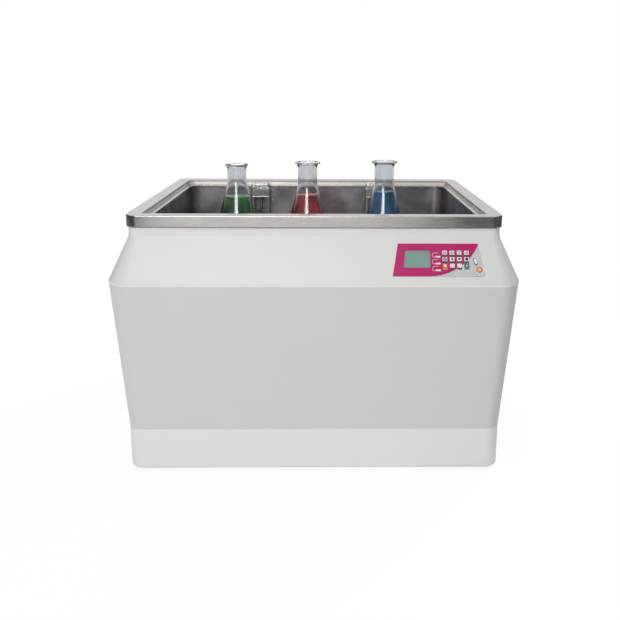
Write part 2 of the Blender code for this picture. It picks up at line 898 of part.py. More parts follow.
def flask_foot():
    return clamp_foot() + clamp_sheet + clamp_step + seat_gap


def flask_side(kind):
    """Radius and height of a flask's outer side, from under its flare to the base."""
    neck = flask_neck_radii[kind]
    shoulder = flask_heights[kind] - flask_neck_lengths[kind]
    slope = (flask_base_radius - neck) / (shoulder - flask_base_round)
    bend = flask_shoulder_round
    side = [(neck, shoulder + bend), (neck + slope * bend / 4, shoulder),
            (neck + slope * bend, shoulder - bend)]
    inset = flask_base_radius - flask_base_round
    side += [(inset + flask_base_round * math.cos(turn),
              flask_base_round - flask_base_round * math.sin(turn))
             for turn in (0, math.pi / 4, math.pi / 2)]
    return side


def flask_flare_curve(kind, wall):
    """The flared mouth from its lip down to the neck, moved inwards by a wall."""
    top = flask_heights[kind]
    neck = flask_neck_radii[kind]
    spread = flask_rim_radii[kind] - neck
    across, down = flask_flare_shares
    return [(neck + spread - wall, top - flask_lip),
            (neck + spread * across - wall, top - flask_flare * down),
            (neck - wall, top - flask_flare)]


def inner_radius(side, height, gap):
    for (upper_radius, upper), (lower_radius, lower) in zip(side, side[1:]):
        if lower <= height <= upper:
            share = (upper - height) / (upper - lower)
            return upper_radius + (lower_radius - upper_radius) * share - gap
    return side[0][0] - gap


def raised(side, wall):
    """The side moved inwards by a wall, with its foot lifted by as much."""
    return [(radius - wall, height + (wall if height < flask_base_round else 0)) for radius, height in side]


def make_flask(number, x, glass, liquid):
    kind = number - 1
    side = flask_side(kind)
    top = flask_heights[kind]
    rim = flask_rim_radii[kind]
    outer = [(rim - flask_wall / 2, top), (rim, top - flask_wall / 2)] + flask_flare_curve(kind, 0) + side
    inner = flask_flare_curve(kind, flask_wall) + raised(side, flask_wall) + [(0, flask_punt + flask_wall)]
    spot = (x, flask_depth_place, flask_foot())
    turned(f"flask_{number}", inner[::-1] + outer + [(0, flask_punt)], spot, glass)
    level = liquid_heights[kind]
    gap = flask_wall + seat_gap
    lower = raised([point for point in side if point[1] < level], gap)
    fill = [(0, level), (inner_radius(side, level, gap), level)] + lower + [(0, flask_punt + gap)]
    turned(f"liquid_{number}", fill, spot, liquid)


def make_clamp(number, x, steel):
    """Two crossed spring strips with upright fingers, and the screw boss that holds them."""
    reach = flask_base_radius + seat_gap * 2 + clamp_sheet
    top = clamp_foot()
    pieces = []
    for layer, turn in enumerate((math.pi / 4, -math.pi / 4)):
        rise = top + layer * clamp_step
        right = [Vector((reach, 0, rise)), Vector((reach, 0, rise + clamp_height - clamp_flare)),
                 Vector((reach + clamp_flare, 0, rise + clamp_height))]
        left = [Vector((-point.x, 0, point.z)) for point in reversed(right)]
        line = rounded(left + right, clamp_bend, edge_steps, closed=False)
        shape = bmesh.new()
        rows = [[shape.verts.new((point.x, side * clamp_strip / 2, point.z)) for point in line]
                for side in (-1, 1)]
        for i in range(len(line) - 1):
            shape.faces.new((rows[0][i], rows[1][i], rows[1][i + 1], rows[0][i + 1]))
        name = f"flask_clamp_{number}" if layer == 0 else f"cross_strip_{number}"
        strip = from_bmesh(name, shape, steel, (x, flask_depth_place, 0))
        strip.rotation_euler = (0, 0, turn)
        thicken(strip, clamp_sheet)
        pieces.append(strip)
    join(pieces[0], pieces[1])
    boss_height = clamp_sheet + clamp_step - seat_gap / 2
    join(pieces[0], rod(f"clamp_boss_{number}", clamp_boss_radius, boss_height,
                        (x, flask_depth_place, top + seat_gap / 2 + boss_height / 2), None))


# Drive below the tank

def make_drive(steel, aluminium, brass, magnet, black):
    top = tank_under - seat_gap
    plate = top - bracket_drop
    half = bracket_width / 2
    line = [Vector((-half - bracket_flange, 0, top)), Vector((-half, 0, top)), Vector((-half, 0, plate)),
            Vector((half, 0, plate)), Vector((half, 0, top)), Vector((half + bracket_flange, 0, top))]
    line = rounded(line, bracket_sheet * 2, edge_steps, closed=False)
    shape = bmesh.new()
    rows = [[shape.verts.new((point.x, side * bracket_length / 2, point.z)) for point in line]
            for side in (-1, 1)]
    for i in range(len(line) - 1):
        shape.faces.new((rows[0][i], rows[0][i + 1], rows[1][i + 1], rows[1][i]))
    bracket = from_bmesh("drive_bracket", shape, steel, (0, tray_middle, 0))
    thicken(bracket, bracket_sheet)
    cut(bracket, rod("shaft_hole", crank_hub_radius + rail_fit, through(bracket_sheet),
                     (0, tray_middle, plate - bracket_sheet / 2), None))
    carriage_top = tank_under - magnet_air - magnet_height - seat_gap
    carriage_middle = carriage_top - carriage_height / 2
    carriage = block("magnet_carriage", (carriage_width, carriage_length, carriage_height),
                     (0, tray_middle, carriage_middle), aluminium)
    rail_length = bracket_width - bracket_sheet * 2 - seat_gap * 2
    for name, side in (("front_guide_rail", -1), ("rear_guide_rail", 1)):
        spot = (0, tray_middle + side * rail_gauge / 2, carriage_middle)
        rod(name, rail_radius, rail_length, spot, steel, "X")
        cut(carriage, rod(name + "_bore", rail_radius + rail_fit, carriage_width + overrun, spot, None, "X"))
    slot_width = (crank_pin_radius + slot_free) * 2
    slot_length = (tray_stroke + crank_pin_radius + drive_air) * 2
    cut(carriage, block("yoke_slot", (slot_width, slot_length, carriage_height + overrun),
                        (0, tray_middle, carriage_middle), None))
    block("drive_magnet", (magnet_width, magnet_length, magnet_height),
          (0, tray_middle, carriage_top + seat_gap + magnet_height / 2), magnet)
    make_crank(brass, plate, carriage_top)
    make_motor(black, plate - bracket_sheet - seat_gap)


def make_crank(brass, plate, carriage_top):
    disc_top = carriage_top - carriage_height - drive_air
    hub_foot = plate - bracket_sheet
    profile = [(0, disc_top), (crank_radius, disc_top), (crank_radius, disc_top - crank_sheet),
               (crank_hub_radius, disc_top - crank_sheet), (crank_hub_radius, hub_foot), (0, hub_foot)]
    crank = turned("crank_disc", profile, (0, tray_middle, 0), brass)
    pin_top = carriage_top - crank_pin_short
    pin_foot = disc_top - crank_sheet / 2
    pin = rod("crank_pin", crank_pin_radius, pin_top - pin_foot,
              (0, tray_middle - tray_stroke, (pin_top + pin_foot) / 2), None)
    join(crank, pin)


def make_motor(black, top):
    motor = block("gear_motor", (motor_box_width, motor_box_length, motor_box_height),
                  (0, tray_middle, top - motor_box_height / 2), black)
    bevel(motor, motor_round, plain_steps)
    join(motor, rod("motor_can", motor_can_radius, motor_can_height + overrun,
                    (0, tray_middle, top - motor_box_height - motor_can_height / 2 + overrun / 2), None,
                    steps=round_steps))


# Rear cover, mains inlet and drain

def make_cover(finish, casing):
    frame = bpy.data.objects.new("cover_frame", None)
    middle_offset = face_top[0] - (face_top[1] - cover_middle_height) * math.tan(face_draft)
    frame.location = (0, half_depth + middle_offset, cover_middle_height)
    frame.rotation_euler = (-math.pi / 2 - face_draft, 0, 0)
    bath.objects.link(frame)
    outlines = [rectangle(cover_width, cover_length, cover_corner)]
    for row in range(cover_slot_rows):
        for column in range(cover_slot_columns):
            spot = ((column - (cover_slot_columns - 1) / 2) * (cover_slot_length + cover_slot_gap),
                    (row - (cover_slot_rows - 1) / 2) * cover_slot_pitch)
            outlines.append(rectangle(cover_slot_length, cover_slot_width,
                                      vent_slot_corner, plain_steps, spot))
    flat_plate("rear_cover", outlines, cover_sheet, finish, (0, 0, seat_gap + cover_sheet / 2), frame)
    window = (cover_width - cover_lap * 2, cover_length - cover_lap * 2, through(casing_wall))
    cut(casing, block("cover_window", window, (0, 0, -casing_wall / 2), None, frame))


def make_inlet(black, white):
    face = back_face + seat_gap
    body_middle = face - inlet_depth / 2
    inlet = block("mains_inlet", (inlet_width, inlet_depth, inlet_tall),
                  (inlet_place, body_middle, inlet_height), black)
    flange = block("inlet_flange", (inlet_width + inlet_flange * 2, inlet_flange_sheet,
                                    inlet_tall + inlet_flange * 2),
                   (inlet_place, face + inlet_flange_sheet / 2, inlet_height), None)
    bevel(flange, inlet_flange_round, plain_steps)
    flange.location.y -= seat_gap / 2
    join(inlet, flange)
    front = face + inlet_flange_sheet
    cut(inlet, block("socket_recess", (socket_width, socket_depth + overrun, socket_tall),
                     (inlet_place + socket_side, front - (socket_depth - overrun) / 2, inlet_height), None))
    cut(inlet, block("switch_recess", (switch_width + switch_fit * 2, switch_depth + overrun,
                                       switch_tall + switch_fit * 2),
                     (inlet_place + switch_side, front - (switch_depth - overrun) / 2, inlet_height), None))
    make_rocker(white, front)


def make_rocker(white, front):
    """A rocker whose two faces meet at the hinge and lean back by the switch angle."""
    half = switch_tall / 2 - switch_fit * 2
    fall = half * math.tan(switch_angle)
    tip = half * switch_tip_share
    line = [Vector((0, 0, -half)), Vector((0, fall * switch_dip_share, 0)), Vector((0, 0, half)),
            Vector((0, -fall * switch_flank_share, tip)), Vector((0, -switch_depth * switch_root_share, 0)),
            Vector((0, -fall * switch_flank_share, -tip))]
    shape = bmesh.new()
    sides = [[shape.verts.new((side * switch_width / 2, point.y, point.z)) for point in line]
             for side in (-1, 1)]
    loft(shape, sides)
    shape.faces.new(sides[0])
    shape.faces.new(reversed(sides[1]))
    bmesh.ops.recalc_face_normals(shape, faces=shape.faces)
    rocker = from_bmesh("mains_switch", shape, white,
                        (inlet_place + switch_side, front - switch_fit, inlet_height))
    rocker.rotation_euler = (-switch_angle, 0, 0)


def make_drain(brass, red):
    spout_end = back_face + spout_reach
    floor_top = tank_floor + seat_gap
    corners = [Vector((drain_place, drain_depth_place, floor_top + drain_flange_sheet)),
               Vector((drain_place, drain_depth_place, drain_height)),
               Vector((drain_place, spout_end, drain_height))]
    drain = tube("drain_valve", rounded(corners, drain_bend, corner_steps, closed=False),
                 drain_radius, brass)
    join(drain, rod("drain_flange", drain_flange_radius, drain_flange_sheet,
                    (drain_place, drain_depth_place, floor_top + drain_flange_sheet / 2), None))
    valve_middle = back_face + spout_reach / 2
    valve_top = drain_height + valve_rise
    join(drain, rod("valve_body", valve_radius, valve_rise * 2,
                    (drain_place, valve_middle, drain_height), None))
    cut(drain, rod("spout_bore", drain_bore_radius, drain_bore_depth * 2,
                   (drain_place, spout_end, drain_height), None, "Y", fine_round_steps))
    cut(drain, rod("sump_bore", drain_bore_radius, drain_bore_depth * 2,
                   (drain_place, drain_depth_place, floor_top), None, "Z", fine_round_steps))
    stem_foot = valve_top + seat_gap
    handle = block("drain_handle", (handle_length, handle_width, handle_height),
                   (drain_place, valve_middle, stem_foot + handle_stem_height + handle_height / 2), red)
    bevel(handle, handle_round, plain_steps)
    join(handle, rod("handle_stem", handle_stem_radius, handle_stem_height + handle_height / 2,
                     (drain_place, valve_middle,
                      stem_foot + (handle_stem_height + handle_height / 2) / 2), None))


def main():
    clear_scene()
    steel = material("brushed_steel", (0.58, 0.57, 0.55), 0.32, 1.0)
    tank_steel = material("tank_steel", (0.50, 0.49, 0.48), 0.30, 1.0)
    white = material("white_moulding", (0.80, 0.79, 0.76), 0.42)
    key_white = material("key_white", (0.84, 0.84, 0.84), 0.45)
    black = material("black_plastic", (0.03, 0.03, 0.03), 0.5)
    rubber = material("rubber", (0.04, 0.04, 0.04), 0.85)
    aluminium = material("aluminium", (0.70, 0.70, 0.71), 0.4, 1.0)
    brass = material("brass", (0.65, 0.48, 0.22), 0.35, 1.0)
    magnet = material("magnet", (0.25, 0.25, 0.27), 0.5, 0.8)
    ptfe = material("ptfe", (0.88, 0.88, 0.86), 0.5)
    red = material("handle_red", (0.60, 0.06, 0.05), 0.45)
    green_board = material("board_green", (0.03, 0.22, 0.09), 0.5)
    glass = material("glass", (0.93, 0.96, 0.97), 0.03, 0.0, 1.0)
    liquids = [material("green_liquid", (0.02, 0.09, 0.05), 0.05, 0.0, 0.6),
               material("red_liquid", (0.30, 0.02, 0.02), 0.05, 0.0, 0.6),
               material("blue_liquid", (0.01, 0.05, 0.14), 0.05, 0.0, 0.6)]
    panel_finishes = {"magenta": material("panel_magenta", (0.46, 0.03, 0.16), 0.4), "white": key_white,
                      "display": material("display", (0.22, 0.34, 0.30), 0.2),
                      "orange": material("lamp_orange", (0.83, 0.26, 0.03), 0.35)}
    panel = make_panel_frame()
    casing = make_casing(white, panel)
    make_plinth(white)
    make_base(steel, rubber)
    make_rim(steel)
    make_tank(tank_steel)
    make_heater(steel)
    make_sensors(steel, white)
    make_panel(panel, panel_finishes)
    make_keys(panel, key_white)
    make_board(panel, green_board)
    make_tray(steel, ptfe, magnet)
    make_track(steel)
    for number, x in enumerate(flask_places, 1):
        make_flask(number, x, glass, liquids[number - 1])
        make_clamp(number, x, steel)
    make_drive(steel, aluminium, brass, magnet, black)
    make_cover(white, casing)
    make_inlet(black, key_white)
    make_drain(brass, red)


main()
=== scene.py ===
import json
import math

import bmesh
import bpy
from mathutils import Matrix, Vector


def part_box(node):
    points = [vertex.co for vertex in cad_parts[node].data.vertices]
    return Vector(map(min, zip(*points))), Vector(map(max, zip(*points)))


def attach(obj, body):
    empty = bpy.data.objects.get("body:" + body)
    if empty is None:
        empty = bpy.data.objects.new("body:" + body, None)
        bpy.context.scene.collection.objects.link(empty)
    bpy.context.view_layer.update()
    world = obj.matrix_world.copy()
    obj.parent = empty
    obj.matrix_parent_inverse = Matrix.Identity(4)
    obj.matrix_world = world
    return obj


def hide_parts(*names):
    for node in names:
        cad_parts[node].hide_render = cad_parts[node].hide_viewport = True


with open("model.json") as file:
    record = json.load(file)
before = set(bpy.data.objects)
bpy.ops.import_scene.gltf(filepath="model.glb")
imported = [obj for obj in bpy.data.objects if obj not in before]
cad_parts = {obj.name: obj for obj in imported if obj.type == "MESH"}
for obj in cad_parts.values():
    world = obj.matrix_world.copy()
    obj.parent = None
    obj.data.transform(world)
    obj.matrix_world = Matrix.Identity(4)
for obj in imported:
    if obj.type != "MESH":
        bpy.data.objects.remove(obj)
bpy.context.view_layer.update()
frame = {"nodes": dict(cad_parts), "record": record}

# Open shaking water bath: its mouldings, steel, glass, printed panel and rear fittings.
# Metres, +Z up, front at -Y, as in the frame.

owner = {node: body for body, nodes in frame["record"]["behaviour"]["bodies"].items() for node in nodes}

# General steps and clearances
gap = 0.0003
corner_steps = 12
round_steps = 64
small_steps = 24
merge_distance = 0.000001
drill_length = 0.010
opening_round = 0.0005

# Rounds on the edges of finished pieces
film_edge = 0.0001
fine_edge = 0.0002
sheet_edge = 0.0003
folded_edge = 0.0004
magnet_edge = 0.0005
cast_edge = 0.0006
plinth_edge = 0.0007

# Casing and plinth
half_width, half_depth, total_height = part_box("rim_frame")[1]
band_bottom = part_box("rim_frame")[0].z
casing_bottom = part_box("casing")[0].z
casing_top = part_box("casing")[1].z
plinth_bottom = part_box("plinth")[0].z
plinth_top = casing_bottom - gap
casing_wall = 0.003
crest_overhang = 0.0336
crest_height = 0.3848
shoulder_radius = 0.0110
slope_tilt = math.radians(65.4)
face_draft = math.radians(4.371)
neck_inset = 0.0035
neck_lip = 0.010
neck_fillet = 0.030
neck_corner = 0.0195
crest_corner = 0.042
plinth_corner = 0.028
plinth_round = 0.006
plinth_spigot = 0.008
plinth_flange = 0.020
foot_groove = 0.0006
# Band of painted light on the casing's neck, standing in for light bounced onto it
neck_light_fade = (0.008, 0.010)
# Band of the painted highlight along the casing's crest
crest_highlight_widths, crest_highlight_drop = (0.0026, 0.0014), 0.0004
lean = math.pi / 2 - slope_tilt
shoulder_centre = crest_overhang - shoulder_radius
slope_foot = (shoulder_centre + shoulder_radius * math.cos(lean),
              crest_height + shoulder_radius * math.sin(lean))
neck_foot = slope_foot[1] + (slope_foot[0] + neck_inset) * math.tan(slope_tilt)
face_top = (shoulder_centre + shoulder_radius * math.cos(face_draft),
            crest_height - shoulder_radius * math.sin(face_draft))
plinth_offset = face_top[0] - (face_top[1] - casing_bottom) * math.tan(face_draft)
back_face = half_depth + plinth_offset

# Steel rim and tank
rim_sheet = 0.0012
rim_corner = 0.022
rim_edge_round = 0.003
band_return = 0.002
flange = (0.0275, 0.020, 0.030)
flange_corner = 0.010
ledge_width = 0.009
ledge_corner = 0.026
lip_drop = 0.006
step_drop = 0.012
step_height = total_height - step_drop
step_slant = 0.005
fold = 0.0012
tank_sheet = 0.0012
tank_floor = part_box("tank")[0].z + tank_sheet
tank_lip = 0.006
tank_floor_round = 0.020
wall_side = half_width - flange[0] - ledge_width + rim_sheet + gap
wall_front = half_depth - flange[1] - ledge_width + rim_sheet + gap
wall_back = half_depth - flange[2] - ledge_width + rim_sheet + gap
wall_corner = ledge_corner + rim_sheet + gap
# Painted shade at the band's foot and a painted shadow line just under the rim's fold
band_shade = (0.0005, 0.0045)
fold_shadow_widths, fold_shadow_drop, fold_shadow_inset = (0.0022, 0.0010), 0.0028, 0.012
tide_line, tide_height = (0.0004, 0.0022), 0.105
heater_radius = 0.004
heater_wall_gap = 0.030
heater_start, heater_return = 0.120, 0.060

# Panel on the slope, in its own plane
panel_origin = (0, neck_inset - half_depth, neck_foot)
panel_place = Matrix.Translation(panel_origin) @ Matrix.Rotation(slope_tilt, 4, "X")
panel_sheet = 0.0010
panel_fit = 0.0003
panel_middle = 0.2307
panel_top_width, panel_bottom_width = 0.1502, 0.1721
panel_top_run, panel_length = 0.0114, 0.0619
panel_corner = 0.0012
display_right = 0.2154
display_top_width, display_bottom_width = 0.0466, 0.0502
display_top_run, display_length = 0.0251, 0.0322
display_corner = 0.0036
pane_sheet = 0.0009
# A darker band inside the display window's edge: painted shade of the window's recess
edge_shade_sheet, edge_shade_outside, edge_shade_inside = 0.0002, 0.0002, 0.0008
key_width, key_length = 0.0088, 0.0078
key_first_column, key_first_run = 0.2427, 0.0288
key_column_pitch, key_row_pitch = 0.01355, 0.0122
key_corner = 0.0012
key_proud = 0.0009
key_flange, key_flange_sheet = 0.0007, 0.0012
key_crown = ((0.0011, 0, 0.0006), (0.0006, 0.0001, 0.0008), (0.0002, 0.00035, 0.0010),
             (0, 0.0008, key_corner))
key_strip = (0.0094, 0.0030, 0.0004)
key_strip_drop = 0.0021
keypad_margin = 0.0035
indicator_middle, indicator_first_run, indicator_pitch = 0.2287, 0.0366, 0.0127
indicator_radius, indicator_proud, indicator_round = 0.0014, 0.0005, 0.0003
pill = (0.0092, 0.0032, 0.0012)
pill_shift, pill_hole = 0.001, 0.0019
bracket_left, bracket_right, bracket_rise, bracket_end = 0.0086, 0.002, 0.0068, 0.0032
bracket_round, bracket_width = 0.0024, 0.0014
lamp_middle, lamp_run, lamp_radius = 0.3063, 0.0611, 0.0062
lamp_proud = 0.0008
lamp_collar = 0.0016
ink, ink_sink = 0.00005, 0.00002
mark_lean = 13
grey_centre = (0.213, 0.0292)
grey_radius, grey_edge = 0.1024, 0.0003

# Tray, flasks and clamps
tray_low, tray_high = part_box("shaking_tray")
tray_sheet = 0.0015
tray_corner, tray_bend = 0.012, 0.004
tray_floor = tray_low.z + tray_sheet
tray_hole_radius = 0.0085
tray_hole_columns, tray_hole_rows = 8, 5
tray_hole_margin = 0.045
flask_places = (-0.176, -0.020, 0.150)
flask_heights = (0.2160, 0.2215, 0.2240)
neck_radii = (0.0206, 0.0212, 0.0214)
mouth_radii = (0.0251, 0.0279, 0.0281)
neck_lengths = (0.036, 0.051, 0.052)
flask_base_radius = 0.062
flask_wall = 0.0020
flask_base_round = 0.010
flask_punt = 0.002
flask_bend = 0.010
flask_flare = 0.012
flask_lip = 0.003
liquid_heights = (0.146, 0.150, 0.1575)
meniscus_rise, meniscus_width, meniscus_edge = 0.0012, 0.006, 0.001
clamp_foot = tray_floor + gap
clamp_sheet = 0.0010
clamp_strip = 0.014
clamp_height = 0.062
clamp_flare = 0.005
clamp_step = 0.0005
clamp_bend = 0.004
clamp_boss, clamp_boss_sheet = 0.012, 0.0012

# Guards and rods on the tank's back wall
guard_place = 0.143
guard_width, guard_depth, guard_corner = 0.046, 0.024, 0.004
guard_sheet = 0.0012
guard_head = 0.035
guard_window = 0.032
guard_crown = 0.005
# Band where the guards' painted glints fade in below the head
head_glint_fade = (0.020, 0.012)
guard_low, guard_top = (corner.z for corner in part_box("probe_guard"))
guard_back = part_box("probe_guard")[1].y
guard_middle = guard_back - guard_depth / 2
guard_lip = (guard_width - guard_corner, 0.0022, 0.0026)
guard_lip_round, guard_lip_proud = 0.0008, 0.0004
guard_shelf_drop, guard_shelf_play = 0.012, 0.003
rivet_radius, rivet_inset = 0.0024, 0.004
rivet_drops = (0.022, 0.045)
rivet_sink, rivet_air = 0.0004, 0.0001
rod_radius, rod_length = 0.003, 0.118
collar_radius, collar_height, collar_round = 0.007, 0.004, 0.0004
stop_radius, stop_height = 0.005, 0.003
float_fit, float_round = 0.0006, 0.002

# Rear cover and fittings
cover_height = 0.225
cover_width, cover_length, cover_sheet, cover_corner = 0.300, 0.170, 0.0015, 0.008
cover_lap = 0.012
cover_slot_length, cover_slot_width = 0.100, 0.005
cover_slot_gap, cover_slot_pitch = 0.012, 0.015
cover_slot_rows = 8
inlet_place, inlet_height = -0.200, 0.045
screw_radius, screw_rise, screw_inset = 0.0035, 0.0016, 0.006
screw_slot = (0.0045, 0.0009)
screw_slot_depth, screw_slot_edge = 0.002, 0.0001
inlet_width, inlet_tall = 0.060, 0.030
socket_side = -0.014
inlet_pins = ((-0.007, -0.002), (0.0, 0.002), (0.007, -0.002))
inlet_pin, inlet_pin_depth = (0.002, 0.014, 0.0045), 0.0095
drain_place, drain_depth_place = 0.255, 0.150
drain_radius, drain_height = 0.007, 0.036
nut_radius, nut_sheet = 0.0125, 0.0025


# Shapes

def outline(shape, corners, radius, steps):
    """Edges through some corners, each turned into an arc."""
    shape.faces.new(corners)
    bmesh.ops.bevel(shape, geom=corners, offset=radius, segments=steps, profile=0.5,
                    affect="VERTICES", material=-1)
    shape.faces.ensure_lookup_table()
    face = shape.faces[0]
    edges = list(face.edges)
    bmesh.ops.delete(shape, geom=[face], context="FACES_ONLY")
    return edges


def ring(shape, half_x, front, back, corner, height, steps):
    places = ((-half_x, -front), (half_x, -front), (half_x, back), (-half_x, back))
    return outline(shape, [shape.verts.new((x, y, height)) for x, y in places], corner, steps)


def aim_faces(shape, sense):
    """Turns a skin's faces away from the Z axis, or towards it where sense is -1."""
    bmesh.ops.recalc_face_normals(shape, faces=shape.faces)
    flow = 0
    for face in shape.faces:
        middle = face.calc_center_median()
        flow += face.calc_area() * (face.normal.x * middle.x + face.normal.y * middle.y)
    if flow * sense < 0:
        bmesh.ops.reverse_faces(shape, faces=shape.faces)


def loft(rows, sense=1, steps=corner_steps, floor=False):
    """A skin over rounded rectangles listed from the top down.

    The rings are joined while they stand a metre apart, so that flat steps pair up too."""
    shape = bmesh.new()
    rings = [ring(shape, *row[:4], -float(number), steps) for number, row in enumerate(rows)]
    for upper, lower in zip(rings, rings[1:]):
        bmesh.ops.bridge_loops(shape, edges=upper + lower)
    for number, (edges, row) in enumerate(zip(rings, rows)):
        dots = list({dot for edge in edges for dot in edge.verts})
        bmesh.ops.translate(shape, vec=(0, 0, row[4] + number), verts=dots)
    if floor:
        bmesh.ops.contextual_create(shape, geom=rings[-1])
    aim_faces(shape, sense)
    return shape


def even_rings(half_x, half_y, rows):
    """Rows for a loft from (outwards, height, corner), with the same distance out on every side."""
    return [(half_x + out, half_y + out, half_y + out, corner, height) for out, height, corner in rows]


def turned(profile, steps=round_steps, closed=False):
    """A (radius, height) profile spun round Z."""
    shape = bmesh.new()
    dots = [shape.verts.new((radius, 0, height)) for radius, height in profile]
    pairs = list(zip(dots, dots[1:])) + ([(dots[-1], dots[0])] if closed else [])
    edges = [shape.edges.new(pair) for pair in pairs]
    bmesh.ops.spin(shape, geom=dots + edges, cent=(0, 0, 0), axis=(0, 0, 1), angle=math.tau,
                   steps=steps, use_merge=True)
    bmesh.ops.remove_doubles(shape, verts=shape.verts, dist=merge_distance)
    bmesh.ops.recalc_face_normals(shape, faces=shape.faces)
    return shape


def arc(middle, radius, start, end, steps=8):
    """Points of an arc in a profile, with its angles in degrees."""
    angles = [math.radians(start + (end - start) * i / steps) for i in range(steps + 1)]
    return [(middle[0] + radius * math.cos(a), middle[1] + radius * math.sin(a)) for a in angles]


def bent(first, control, last, steps=8):
    """Points of a smooth bend from first to last that leaves and arrives along the control's sides."""
    shares = [i / steps for i in range(steps + 1)]
    return [tuple((1 - t) ** 2 * a + 2 * t * (1 - t) * b + t ** 2 * c
                  for a, b, c in zip(first, control, last)) for t in shares]


def bar(radius, length, edge=folded_edge, steps=small_steps):
    """A round bar along Z from 0, with rounded ends."""
    foot = arc((radius - edge, edge), edge, -90, 0, 3)
    top = arc((radius - edge, length - edge), edge, 0, 90, 3)
    return turned([(0, 0)] + foot + top + [(0, length)], steps)


def block(size, edge):
    shape = bmesh.new()
    bmesh.ops.create_cube(shape, size=1.0)
    bmesh.ops.scale(shape, vec=size, verts=shape.verts)
    bmesh.ops.bevel(shape, geom=shape.edges, offset=edge, segments=2, profile=0.5,
                    affect="EDGES", material=-1)
    return shape


def rectangle(width, length, radius, middle=(0, 0)):
    x, y = middle
    points = [(x + sx * width / 2, y + sy * length / 2) for sx, sy in ((-1, -1), (1, -1), (1, 1), (-1, 1))]
    return points, radius


def disc(radius, middle=(0, 0)):
    return rectangle(radius * 2, radius * 2, radius * 0.999, middle)


def carry_on(shape, made, reach):
    """Moves the new side of an extrusion, and turns the faces outwards."""
    risen = [item for item in made["geom"] if isinstance(item, bmesh.types.BMVert)]
    bmesh.ops.translate(shape, vec=reach, verts=risen)
    bmesh.ops.recalc_face_normals(shape, faces=shape.faces)


def plate(outlines, thickness, foot=0.0):
    """A flat plate from an outline and its holes, standing on foot."""
    shape = bmesh.new()
    edges = []
    for points, radius in outlines:
        edges += outline(shape, [shape.verts.new((x, y, foot)) for x, y in points], radius, 6)
    bmesh.ops.triangle_fill(shape, edges=edges, use_beauty=True)
    carry_on(shape, bmesh.ops.extrude_face_region(shape, geom=shape.faces[:]), (0, 0, thickness))
    return shape


def bent_band(points, bend, steps, reach):
    """A band between a line through some points, its bends rounded, and the same line moved by reach."""
    shape = bmesh.new()
    dots = [shape.verts.new(point) for point in points]
    for pair in zip(dots, dots[1:]):
        shape.edges.new(pair)
    bmesh.ops.bevel(shape, geom=dots[1:-1], offset=bend, segments=steps, profile=0.5,
                    affect="VERTICES", material=-1)
    carry_on(shape, bmesh.ops.extrude_edge_only(shape, edges=shape.edges[:]), reach)
    return shape


def stroke(points, radius, width, thickness, foot):
    """A printed line along some points, with rounded bends."""
    shape = bent_band([(x, y, foot) for x, y in points], radius, 5, (0, 0, thickness))
    bmesh.ops.solidify(shape, geom=shape.faces[:], thickness=width)
    bmesh.ops.recalc_face_normals(shape, faces=shape.faces)
    return shape


def strip(points, width, bend):
    """A sheet strip whose line runs in the XZ plane, with its bends rounded."""
    return bent_band([(x, -width / 2, z) for x, z in points], bend, 6, (0, width, 0))


def moved(shape, *places):
    """The shape after each matrix in turn, the last one first."""
    whole = Matrix.Identity(4)
    for place in places:
        whole = whole @ place
    bmesh.ops.transform(shape, matrix=whole, verts=shape.verts)
    return shape


def at(x, y, z):
    return Matrix.Translation((x, y, z))


def turn(degrees, axis):
    return Matrix.Rotation(math.radians(degrees), 4, axis)


def mesh_of(name, shape):
    mesh = bpy.data.meshes.new(name)
    shape.to_mesh(mesh)
    shape.free()
    return mesh


def placed(name, data):
    """An object in the scene that shows a mesh, a lamp or a camera."""
    item = bpy.data.objects.new(name, data)
    bpy.context.scene.collection.objects.link(item)
    return item


def modify(item, kind, **settings):
    modifier = item.modifiers.new(kind.lower(), kind)
    for name, value in settings.items():
        setattr(modifier, name, value)


def settle(item):
    """Applies an object's modifiers to its mesh."""
    graph = bpy.context.evaluated_depsgraph_get()
    settled = bpy.data.meshes.new_from_object(item.evaluated_get(graph))
    item.modifiers.clear()
    item.data = settled


def piece(name, parts, nodes=(), body=None, slot=None, wall=None, edge=None, holes=()):
    """One finished piece from (shape, finish) pairs, which moves with the nodes that it stands for."""
    whole = bmesh.new()
    mesh = bpy.data.meshes.new(name)
    for number, (shape, finish) in enumerate(parts):
        part = mesh_of("part", shape)
        known = len(whole.faces)
        whole.from_mesh(part)
        bpy.data.meshes.remove(part)
        whole.faces.ensure_lookup_table()
        for face in whole.faces[known:]:
            face.material_index = number
        mesh.materials.append(finish)
    whole.to_mesh(mesh)
    whole.free()
    item = placed(name, mesh)
    if wall:
        modify(item, "SOLIDIFY", thickness=wall, offset=-1.0, use_even_offset=True)
    cutters = [placed("cutter", mesh_of("cutter", hole)) for hole in holes]
    for cutter in cutters:
        modify(item, "BOOLEAN", object=cutter)
    if edge:
        modify(item, "BEVEL", width=edge, segments=2, limit_method="ANGLE", angle_limit=math.radians(40))
    if item.modifiers:
        settle(item)
    for cutter in cutters:
        bpy.data.objects.remove(cutter)
    item.data.shade_smooth()
    item.data.set_sharp_from_angle(angle=math.radians(50))
    modify(item, "WEIGHTED_NORMAL", keep_sharp=True)
    settle(item)
    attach(item, body or owner[nodes[0]])
    if nodes:
        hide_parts(*nodes)


def finished(name, shape, finish, node, **settings):
    """A piece of one finish in the place of one node."""
    piece(name, [(shape, finish)], (node,), **settings)


def fitting(name, shape, finish, slot, body="base", **settings):
    """A small piece of one finish that stands for no node."""
    piece(name, [(shape, finish)], (), body, slot, **settings)


def dressed(node, finish, edge=None):
    """A CAD piece whose own form is right, with its loose triangles joined and its edges eased."""
    shape = bmesh.new()
    shape.from_mesh(frame["nodes"][node].data)
    bmesh.ops.remove_doubles(shape, verts=shape.verts, dist=merge_distance)
    bmesh.ops.dissolve_limit(shape, angle_limit=math.radians(1), verts=shape.verts, edges=shape.edges)
    finished(node + "_finished", shape, finish, node, edge=edge)


# Finishes

